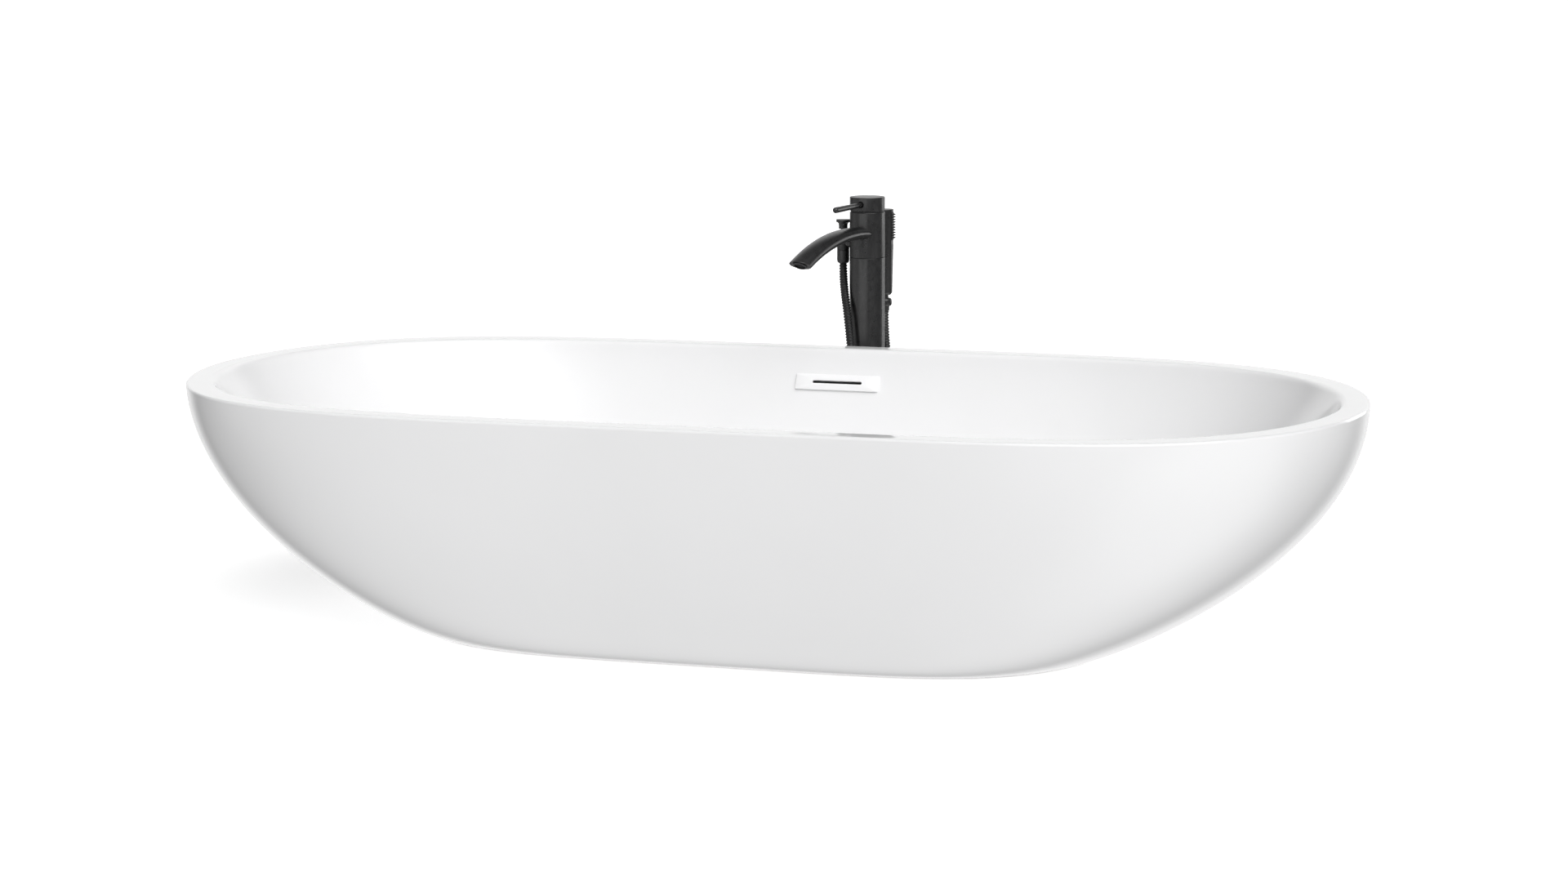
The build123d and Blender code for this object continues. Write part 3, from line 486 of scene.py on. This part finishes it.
# --- white fittings ----------------------------------------------------------
def rounded_rectangle(length, width, radius, count):
    """Points round a rectangle with rounded corners; outlines of the same count match point for point."""
    points = []
    for k in range(count):
        t = 2 * pi * (k + 0.5) / count
        corner = (length / 2 - radius) * np.sign(cos(t)), (width / 2 - radius) * np.sign(sin(t))
        points.append((corner[0] + radius * cos(t), corner[1] + radius * sin(t)))
    return points


def overflow_plate():
    """A flat plate with a bevelled edge and a slot through it."""
    count = 96
    face = PLATE_THICK / 2
    rings = []
    for shrink, z in [(0, -face), (0, face - 0.8), (0.24, face - 0.24), (0.8, face)]:
        outline = rounded_rectangle(PLATE_LENGTH - 2 * shrink, PLATE_WIDTH - 2 * shrink, 1.8, count)
        rings.append(flat_ring(outline, z))
    for grow, z in [(0.4, face), (0, face - 0.4), (0, -face)]:
        width = SLOT_WIDTH + 2 * grow
        rings.append(flat_ring(rounded_rectangle(SLOT_LENGTH + 2 * grow, width, width / 2, count), z))
    plate = skin("overflow_plate_gloss", rings, loop=True)
    plate.data.transform(overflow_matrix())
    sharp_edges(plate)
    dress(plate, "white_trim", "bath", "overflow_plate")


def drain_flange():
    low, high = heights("drain_flange")
    outer, seat = half_width("drain_flange"), BASIN_FLOOR / MM + 0.2
    ring = [(21, low), (24, low), (24, seat), (outer, seat), (outer, high - 2.2, 0.8),
            (outer - 4, high, 1.5), (24, high, 0.5), (21, high - 2)]
    flange = lathe_ring("drain_flange_white", ring)
    flange.data.transform(Matrix.Translation((DRAIN.x, DRAIN.y, 0)))
    sharp_edges(flange)
    dress(flange, "white_trim", "bath", "drain_flange")


def stopper_cap():
    low, high = heights("stopper_cap")
    r = half_width("stopper_cap")
    dome = [(r - 1.0, low + 3.6), (r - 3, low + 5.2), (r * 0.72, low + 6.4), (r * 0.4, low + 7.4),
            (0, high)]
    cap = lathe("stopper_cap_white", [(0, low), (r - 4, low), (r - 0.2, low + 1.9, 0.6), *dome])
    cap.data.transform(Matrix.Translation((DRAIN.x, DRAIN.y, 0)))
    sharp_edges(cap)
    dress(cap, "white_trim", "stopper", "stopper_cap")


# --- filler ------------------------------------------------------------------
R = COLUMN_RADIUS / MM
BORE = R - 3
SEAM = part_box("column_tube")[1].z / MM
BODY_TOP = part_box("valve_body")[1].z / MM
HEAD_BOTTOM, HEAD_TOP = heights("lever_head")
LEVER_Z = sum(heights("lever_bar")) / 2
LEVER_REACH = 135.0
LEVER_ROOT, LEVER_TIP, LEVER_PIN, LEVER_HOLE = 4.2, 4.9, 3.5, 5.5     # radii
HANDSET_Y = 62.2              # from the column's axis to the handset's
DIVERTER_X = -45.2
DIVERTER_ARM_Z = 530.0
SIDEWAYS = Matrix.Rotation(pi / 2, 4, "X")          # turns +Z to -Y


def black(obj, body, *nodes, x=0.0, y=0.0, turn=FILLER_TURN):
    """Puts a filler piece in its place and coats it."""
    in_place(obj, x, y, turn)
    sharp_edges(obj)
    dress(obj, "black_metal", body, *nodes)


def column():
    low = column_low.z / MM
    corners = [(BORE, low), (R, low), (R, SEAM, 0.5), (BORE, SEAM)]
    black(lathe_ring("filler_column", corners, 160), "bath", "column_tube")


def valve_body():
    base, seat = SEAM + 0.4, BODY_TOP - 6
    corners = [(0, base - 20), (BORE - 0.1, base - 20), (BORE - 0.1, base), (R, base, 0.5),
               (R, BODY_TOP, 0.7), (24.5, BODY_TOP), (24.5, seat), (0, seat)]
    black(lathe("filler_valve_body", corners, 160), "bath", "valve_body")


def lever():
    hub = 10.0
    corners = [(0, HEAD_BOTTOM + 1), (hub, HEAD_BOTTOM + 1), (hub, HEAD_TOP - 5), (R - 3, HEAD_TOP - 5),
               (R - 3, HEAD_BOTTOM), (R, HEAD_BOTTOM, 0.5), (R, HEAD_TOP, 1.1), (0, HEAD_TOP)]
    head = lathe("lever_head_cap", corners, 160)
    hole = lathe("hole", [(0, 18), (LEVER_HOLE, 18), (LEVER_HOLE, 45), (0, 45)], 32)
    hole.data.transform(Matrix.Translation((0, 0, LEVER_Z * MM)) @ SIDEWAYS)
    subtract(head, hole)
    black(head, "lever", "lever_head", turn=LEVER_TURN)
    root, tip, pin = LEVER_ROOT, LEVER_TIP, LEVER_PIN
    nose = [(tip * cos(t), LEVER_REACH - tip + tip * sin(t)) for t in np.linspace(0, pi / 2, 10)]
    bar = lathe("lever_bar_round", [(0, 6), (pin, 6), (pin, 20.5), (root, 20.5), (root, 26), *nose], 48)
    bar.data.transform(Matrix.Translation((0, 0, LEVER_Z * MM)) @ SIDEWAYS)
    black(bar, "lever", "lever_bar", turn=LEVER_TURN)


def floor_cover():
    r, top = half_width("floor_cover"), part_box("floor_cover")[1].z / MM
    corners = [(R + 0.2, top), (r - 10, top, 3), (r - 1.5, top - 4, 4), (r, top - 12, 3), (r, 0),
               (r - 3, 0), (r - 4, top - 9), (r - 12, top - 3.2), (R + 0.2, top - 3)]
    black(lathe_ring("filler_floor_cover", corners, 160), "bath", "floor_cover")


SPOUT_START = (20.0, 549.0)   # how far out, and how high
SPOUT_MOUTH = (226.0, 516.0)
SPOUT_END = (230.0, 514.0)
SPOUT_SLOPE = radians(6)
SPOUT_ROOT_HALF, SPOUT_TIP_HALF = (20.0, 10.0), (19.0, 12.5)
MOUTH_TILT = radians(60)      # the mouth faces this far below level
AERATOR_RADIUS = 12.0
LAST_RING = 0.997             # share of the skin's length where its rounding to the mouth starts


def spout_middle(t):
    """A point of the spout's arc and the arc's slope there, in the plane (out, up)."""
    start, end = np.array(SPOUT_START), np.array(SPOUT_END)
    down = np.array((sin(SPOUT_SLOPE), -cos(SPOUT_SLOPE)))
    span = end - start
    radius = span @ span / (2 * span @ down)
    whole = 2 * np.arcsin(np.linalg.norm(span) / (2 * radius))
    angle = SPOUT_SLOPE - t * whole
    middle = start + radius * down + radius * np.array((-sin(angle), cos(angle)))
    return middle, angle


def spout_point(t, turn, shrink=0.0):
    """A point of the spout's skin, in mm in the filler's frame."""
    (out, up), slope = spout_middle(t)
    a, b = (r + (e - r) * t - shrink for r, e in zip(SPOUT_ROOT_HALF, SPOUT_TIP_HALF))
    lift = b * sin(turn)
    return np.array((a * cos(turn), -(out - lift * sin(slope)), up + lift * cos(slope)))


MOUTH_NORMAL = np.array((0, -cos(MOUTH_TILT), -sin(MOUTH_TILT)))
MOUTH_MIDDLE = np.array((0, -SPOUT_MOUTH[0], SPOUT_MOUTH[1]))


def reach_mouth(turn):
    """How far along the arc the spout's skin meets the mouth's plane."""
    low, high = 0.5, 1.3
    for _ in range(30):
        t = (low + high) / 2
        if (spout_point(t, turn) - MOUTH_MIDDLE) @ MOUTH_NORMAL < 0:
            low = t
        else:
            high = t
    return low


def mouth_circle(radius, depth, turns):
    """A circle about the mouth's axis, depth mm out of its plane."""
    up = np.array((0, -MOUTH_NORMAL[2], MOUTH_NORMAL[1]))
    up = up * np.sign(up[2])
    side = np.array((1, 0, 0))
    return [MOUTH_MIDDLE + MOUTH_NORMAL * depth + radius * (cos(t) * side + sin(t) * up) for t in turns]


def spout():
    """The arched spout, an oval that ends in a slanting plane, with a round mouth in it."""
    turns = np.linspace(0, 2 * pi, 96, endpoint=False)
    ends = [reach_mouth(t) for t in turns]
    rings = []
    for share in np.linspace(0, 1, 40):
        rings.append([spout_point(share * end * LAST_RING, t) for t, end in zip(turns, ends)])
    rings.append([spout_point(end, t, 0.5) for t, end in zip(turns, ends)])
    rings.append(mouth_circle(AERATOR_RADIUS + 0.3, 0, turns))
    rings += [mouth_circle(AERATOR_RADIUS + 0.1, depth, turns) for depth in (-0.4, -3.4)]
    obj = skin("spout_arched", [[tuple(p * MM) for p in ring] for ring in rings], close_ends=True)
    black(obj, "bath", "spout")
    aerator(turns)


def aerator(turns):
    """The ring in the spout's mouth, and the ridged screen in it."""
    r = AERATOR_RADIUS - 0.05
    steps = [(r, -3.3), (r, 1.5), (r - 0.5, 2.0), (9.9, 2.0), (9.5, 1.6), (9.5, -3.3)]
    rings = [[tuple(p * MM) for p in mouth_circle(radius, depth, turns)] for radius, depth in steps]
    black(skin("aerator_ring", rings, loop=True), "bath", "aerator_housing")
    steps = [(9.4, -2.9), (9.4, -0.6)]
    for r in (8.6, 7.4, 6.2, 5.0, 3.8, 2.6, 1.4):
        steps += [(r + 0.35, -0.6), (r + 0.2, -0.1), (r - 0.2, -0.1), (r - 0.35, -0.6)]
    rings = [[tuple(p * MM) for p in mouth_circle(radius, depth, turns)] for radius, depth in steps]
    screen = skin("aerator_screen_ridged", rings, close_ends=True)
    in_place(screen)
    sharp_edges(screen)
    dress(screen, "black_trim", "bath", "aerator_screen")


def diverter():
    """The diverter beside the column, its pull knob above and the hose's nut below."""
    r = half_width("outlet_hose_nut")
    body = lathe("diverter_part", [(0, 510), (8, 510), (8, 519), (r, 519, 0.5), (r, 541, 1.4), (7, 541),
                                   (7, 546, 0.8), (0, 546)], 96)
    body.data.transform(Matrix.Translation((DIVERTER_X * MM, 0, 0)))
    arm = lathe("arm", [(0, -DIVERTER_X - 4), (7, -DIVERTER_X - 4), (7, 24), (0, 24)], 64)
    arm.data.transform(Matrix.Translation((0, 0, DIVERTER_ARM_Z * MM)) @ Matrix.Rotation(-pi / 2, 4, "Y"))
    black(join("diverter_valve", [body, arm]), "bath", "diverter_body")
    stem = lathe("diverter_stem_rod", [(0, 530), (4, 530), (4, 558), (0, 558)], 48)
    black(stem, "diverter", "diverter_stem", x=DIVERTER_X)
    low, high = heights("diverter_knob")
    wide = half_width("diverter_knob")
    knob = [(0, low), (7.3, low, 0.7), (7.3, high - 8.5, 2), (8.2, high - 6, 1), (11.2, high - 4.2, 0.8),
            (wide, high - 3.4, 0.3), (wide, high, 0.7), (0, high)]
    black(lathe("diverter_knob_flared", knob, 96), "diverter", "diverter_knob", x=DIVERTER_X)
    low, high = heights("outlet_hose_nut")
    nut = [(7.05, low), (8.2, low, 0.4), (9.6, low + 1.2, 0.5), (9.6, low + 3, 0.3), (r, low + 3.8, 0.4),
           (r, high, 0.4), (8.05, high), (8.05, low + 10), (7.05, low + 10)]
    black(lathe_ring("outlet_nut_smooth", nut, 96), "bath", "outlet_hose_nut", x=DIVERTER_X)


def cradle():
    """The handset's holder: a conical ring on an arm from the column."""
    low, high = heights("handset_cradle")
    middle, r = (low + high) / 2, 12.0
    ring = lathe_ring("ring", [(7.8, low), (r - 2.6, low, 0.8), (r - 0.7, low + 2, 1.5), (r, middle, 3),
                               (r - 0.7, high - 2, 1.5), (r - 2.6, high, 0.8), (8.7, high)], 96)
    ring.data.transform(Matrix.Translation((0, HANDSET_Y * MM, 0)))
    arm = lathe("arm", [(0, 24), (5.5, 24), (5.5, HANDSET_Y - 9.5), (0, HANDSET_Y - 9.5)], 64)
    arm.data.transform(Matrix.Translation((0, 0, middle * MM)) @ Matrix.Rotation(-pi / 2, 4, "X"))
    black(join("handset_holder", [ring, arm]), "bath", "handset_cradle")


SPRAY_LOW, SPRAY_HIGH = 531.0, 579.0
SPRAY_FLAT = 12.6             # from the handset's axis to the flat that carries the spray plate
NOZZLE_ROWS, NOZZLE_PITCH = 10, 4.3
NOZZLE_COLUMNS = (-4.6, 0.0, 4.6)
SPRAY_TOP = 13.8              # from the handset's axis to the spray plate's face
NOZZLE = [(0, SPRAY_TOP - 0.5), (1.25, SPRAY_TOP - 0.5), (1.1, SPRAY_TOP + 0.4), (0.75, 16.9, 0.3),
          (0.4, 17.0), (0.3, 16.4), (0, 16.4)]


def handset():
    """A round wand with a flat cut for the spray plate."""
    low, high = heights("handset_body")
    r = 14.0
    corners = [(0, low), (6, low), (6, 440), (9.5, 440, 0.6), (r - 1.8, 443.5, 1.5), (r, SPRAY_LOW - 8)]
    corners += [(r, SPRAY_LOW), (r, SPRAY_LOW + 0.01), (r, SPRAY_HIGH),
                (r, SPRAY_HIGH + 0.01), (r, high, 1.2), (0, high)]
    wand = lathe("handset_wand", corners, 160)
    for vertex in wand.data.vertices:
        if SPRAY_LOW < vertex.co.z / MM < SPRAY_HIGH + 0.005:
            vertex.co.x = min(vertex.co.x, SPRAY_FLAT * MM)
    black(wand, "handset", "handset_body", turn=0)
    wand.data.transform(Matrix.Translation(handset_shift()))
    spray()
    low, high = heights("handset_hose_nut")
    nut = lathe("handset_nut_tapered", [(0, low), (7.2, low, 0.5), (8.4, high, 0.4), (0, high)], 96)
    black(nut, "handset", "handset_hose_nut", y=HANDSET_Y)


def handset_shift():
    """From the column's axis to the handset's."""
    x, y = place(0, HANDSET_Y)
    return Vector((x, y, 0)) - FILLER


def spray():
    """The spray plate with its nozzles, facing +X of the bath."""
    middle, tall, wide = (SPRAY_LOW + SPRAY_HIGH) / 2, SPRAY_HIGH - SPRAY_LOW - 0.4, 11.6
    rings = []
    for shrink, z in [(0, SPRAY_FLAT - 0.4), (0, SPRAY_TOP - 0.5), (0.5, SPRAY_TOP), (2.5, SPRAY_TOP)]:
        outline = rounded_rectangle(tall - 2 * shrink, wide - 2 * shrink, 2.6, 64)
        rings.append(flat_ring(outline, z))
    pieces = [skin("plate", rings, close_ends=True)]
    for row in range(NOZZLE_ROWS):
        for side in NOZZLE_COLUMNS:
            nozzle = lathe("nozzle", NOZZLE, 20, 2)
            along = (row - (NOZZLE_ROWS - 1) / 2) * NOZZLE_PITCH
            nozzle.data.transform(Matrix.Translation((along * MM, side * MM, 0)))
            pieces.append(nozzle)
    face = join("spray_plate_nozzles", pieces)
    face.data.transform(Matrix.Translation((0, 0, middle * MM)) @ Matrix.Rotation(pi / 2, 4, "Y"))
    in_place(face, turn=0)
    face.data.transform(Matrix.Translation(handset_shift()))
    sharp_edges(face)
    dress(face, "black_trim", "handset", "spray_face")


# --- hose --------------------------------------------------------------------
HOSE_RADIUS = 7.0
HOSE_TOP, HOSE_END = 497.0, 413.0
FLOOR_Z = HOSE_RADIUS + 1
OUTLET = tuple(v / MM for v in place(DIVERTER_X, 0))
INLET = tuple(v / MM for v in place(0, HANDSET_Y))
HOSE_ROUTE = [
    (*OUTLET, HOSE_TOP), (*OUTLET, 486), (-37.5, 570, 458), (-27, 549, 425), (-20.5, 541.5, 385),
    (-15.5, 537.5, 345), (-7.5, 533, 285), (-2, 522, 210), (-8, 512, 138), (-34, 505, 76),
    (-74, 499, 32), (-126, 480, 10), (-163, 434, FLOOR_Z), (-160, 374, FLOOR_Z),
    (-116, 334, FLOOR_Z), (-52, 326, FLOOR_Z), (10, 336, FLOOR_Z), (66, 368, FLOOR_Z),
    (96, 424, FLOOR_Z), (104, 490, FLOOR_Z), (98, 552, 34), (84, 598, 88), (66, 626, 152),
    (44, 641, 226), (25, 645, 300), (*INLET, 362), (*INLET, HOSE_END),
]
RIDGE_PITCH = 4.85
GROOVE = 1.6
HOSE_SIDES = 20
STEPS_PER_RIDGE = 8


def hose_line():
    """Points along the route's spline, close together."""
    curve = bpy.data.curves.new("hose_line", "CURVE")
    curve.dimensions = "3D"
    curve.resolution_u = 40
    spline = curve.splines.new("NURBS")
    spline.points.add(len(HOSE_ROUTE) - 1)
    for point, (x, y, z) in zip(spline.points, HOSE_ROUTE):
        point.co = (x * MM, y * MM, z * MM, 1)
    spline.order_u = 3
    spline.use_endpoint_u = True
    obj = bpy.data.objects.new("hose_line", curve)
    bpy.context.scene.collection.objects.link(obj)
    mesh = bpy.data.meshes.new_from_object(obj)
    points = np.array([vertex.co[:] for vertex in mesh.vertices])
    bpy.data.objects.remove(obj)
    return points


def ridge_radius(s):
    """The hose's radius, in mm, at s mm along it: even, rounded ridges."""
    return HOSE_RADIUS - 0.05 - GROOVE * (0.5 - 0.5 * cos(2 * pi * s / RIDGE_PITCH))


def hose_rings(line):
    """Ridged rings square to the line."""
    along = np.concatenate([[0], np.cumsum(np.linalg.norm(np.diff(line, axis=0), axis=1))])
    steps = round(along[-1] / MM / RIDGE_PITCH) * STEPS_PER_RIDGE
    at = np.linspace(0, along[-1], steps + 1)
    middle = np.stack([np.interp(at, along, line[:, i]) for i in range(3)], 1)
    heading = np.gradient(middle, axis=0)
    heading /= np.linalg.norm(heading, axis=1)[:, None]
    side = np.array((1.0, 0.0, 0.0))
    turns = np.linspace(0, 2 * pi, HOSE_SIDES, endpoint=False)
    rings = []
    for point, forward, s in zip(middle, heading, at / MM):
        side = side - forward * (side @ forward)
        side /= np.linalg.norm(side)
        other = np.cross(forward, side)
        r = ridge_radius(s) * MM
        rings.append([tuple(point + r * (cos(t) * side + sin(t) * other)) for t in turns])
    return rings


def hose():
    """The shower hose, from the diverter's outlet to the handset."""
    line = hose_line()
    tube = skin("shower_hose_ribbed", hose_rings(line), close_ends=True)
    dress(tube, "black_hose", None, "shower_hose")
    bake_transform(tube)


def build():
    dress_frame()
    bath_shell()
    outer_skirt()
    overflow_plate()
    drain_flange()
    stopper_cap()
    column()
    valve_body()
    lever()
    spout()
    diverter()
    cradle()
    handset()
    floor_cover()
    hose()


# --- camera, light and floor -------------------------------------------------
CAMERA_AT = Vector((1.5171, -4.9635, 1.1151))
CAMERA_YAW, CAMERA_PITCH, CAMERA_ROLL = radians(16.69), radians(9.04), radians(0.15)
CAMERA_LENS = 80.18


def camera():
    data = bpy.data.cameras.new("camera")
    data.lens = CAMERA_LENS
    data.sensor_width = 36
    data.clip_end = 100
    obj = bpy.data.objects.new("camera", data)
    turn = Matrix.Rotation(CAMERA_YAW, 4, "Z") @ Matrix.Rotation(pi / 2 - CAMERA_PITCH, 4, "X")
    obj.matrix_world = Matrix.Translation(CAMERA_AT) @ turn @ Matrix.Rotation(-CAMERA_ROLL, 4, "Z")
    bpy.context.scene.collection.objects.link(obj)
    bpy.context.scene.camera = obj


def gloss_panel(name, at, aim, size, power):
    """A panel that shows only as a reflection, for the highlights on the black filler."""
    data = bpy.data.lights.new(name, "AREA")
    data.shape = "RECTANGLE"
    data.size, data.size_y = size
    data.energy = power
    obj = bpy.data.objects.new(name, data)
    obj.location = at
    obj.rotation_euler = (Vector(aim) - Vector(at)).to_track_quat("-Z", "Y").to_euler()
    obj.visible_diffuse = False
    bpy.context.scene.collection.objects.link(obj)


STUDIO_RADIUS = 30.0

# The light all round, and its brighter regions: each has its direction, the degrees from there to
# where its edge starts and ends, and its strength.
BASE_LIGHT = 0.12
REGIONS = [
    ((-0.29, 0.96, 0.0), 24, 44, 0.85),
    ((0.45, -0.55, 0.72), 14, 41, 3.0),
    ((0.45, -0.25, 0.86), 24, 60, 0.25),
    ((-0.6, -0.1, 0.8), 24, 60, 0.19),
    ((-0.93, -0.37, 0.0), 10, 40, 0.39),
    ((0.97, 0.0, 0.15), 12, 45, 0.12),
    ((0.1, -0.35, -0.93), 30, 75, 0.78),
    ((0.75, -0.2, -0.75), 15, 45, 0.58),
    ((-0.85, -0.2, -0.5), 15, 50, 0.12),
]


def region(tree, direction, start, end, strength):
    """A soft-edged round patch of the surroundings, as a socket."""
    coords = tree.nodes.new("ShaderNodeTexCoord")
    dot = tree.nodes.new("ShaderNodeVectorMath")
    dot.operation = "DOT_PRODUCT"
    dot.inputs[1].default_value = Vector(direction).normalized()
    tree.links.new(coords.outputs["Generated"], dot.inputs[0])
    edge = tree.nodes.new("ShaderNodeMapRange")
    edge.interpolation_type = "SMOOTHSTEP"
    edge.inputs["From Min"].default_value = cos(radians(end))
    edge.inputs["From Max"].default_value = cos(radians(start))
    edge.inputs["To Max"].default_value = strength
    tree.links.new(dot.outputs["Value"], edge.inputs["Value"])
    return edge.outputs["Result"]


def surroundings():
    """A world that is the sum of the base light and the regions."""
    world = bpy.data.worlds.new("studio")
    world.use_nodes = True
    tree = world.node_tree
    total = None
    for spec in REGIONS:
        add = tree.nodes.new("ShaderNodeMath")
        add.operation = "ADD"
        add.inputs[1].default_value = BASE_LIGHT
        if total:
            tree.links.new(total, add.inputs[1])
        tree.links.new(region(tree, *spec), add.inputs[0])
        total = add.outputs["Value"]
    tree.links.new(total, tree.nodes["Background"].inputs["Strength"])
    tree.nodes["Background"].inputs["Color"].default_value = (1, 1, 1, 1)
    bpy.context.scene.world = world


def backdrop(name, points, faces, glow):
    """A pale surface that only the camera sees, so the light comes from all round."""
    obj = new_object(name, points, faces)
    mat, _, shader = material(name, (0.93, 0.93, 0.93), 0.9)
    shader.inputs["Emission Color"].default_value = (1, 1, 1, 1)
    shader.inputs["Emission Strength"].default_value = glow
    obj.data.materials.append(mat)
    obj.visible_glossy = False
    obj.visible_diffuse = False
    obj.visible_shadow = False


def studio():
    surroundings()
    bpy.context.scene.view_settings.view_transform = "Standard"
    count = 64
    turns = np.linspace(0, 2 * pi, count, endpoint=False)
    low, high = ([(STUDIO_RADIUS * cos(t), STUDIO_RADIUS * sin(t), z) for t in turns]
                 for z in (0, STUDIO_RADIUS))
    backdrop("studio_floor", low, [tuple(range(count))], 0.45)
    around = [(k, (k + 1) % count, count + (k + 1) % count, count + k) for k in range(count)]
    backdrop("studio_wall", low + high, around, 1.0)
    gloss_panel("front_panel", (-1.4, -5.3, 1.0), (0, 0.5, 0.5), (6.0, 2.0), 54)
    gloss_panel("back_panel", (2.6, 3.6, 0.8), (0, 0.5, 0.5), (1.5, 2.0), 19)


build()
camera()
studio()
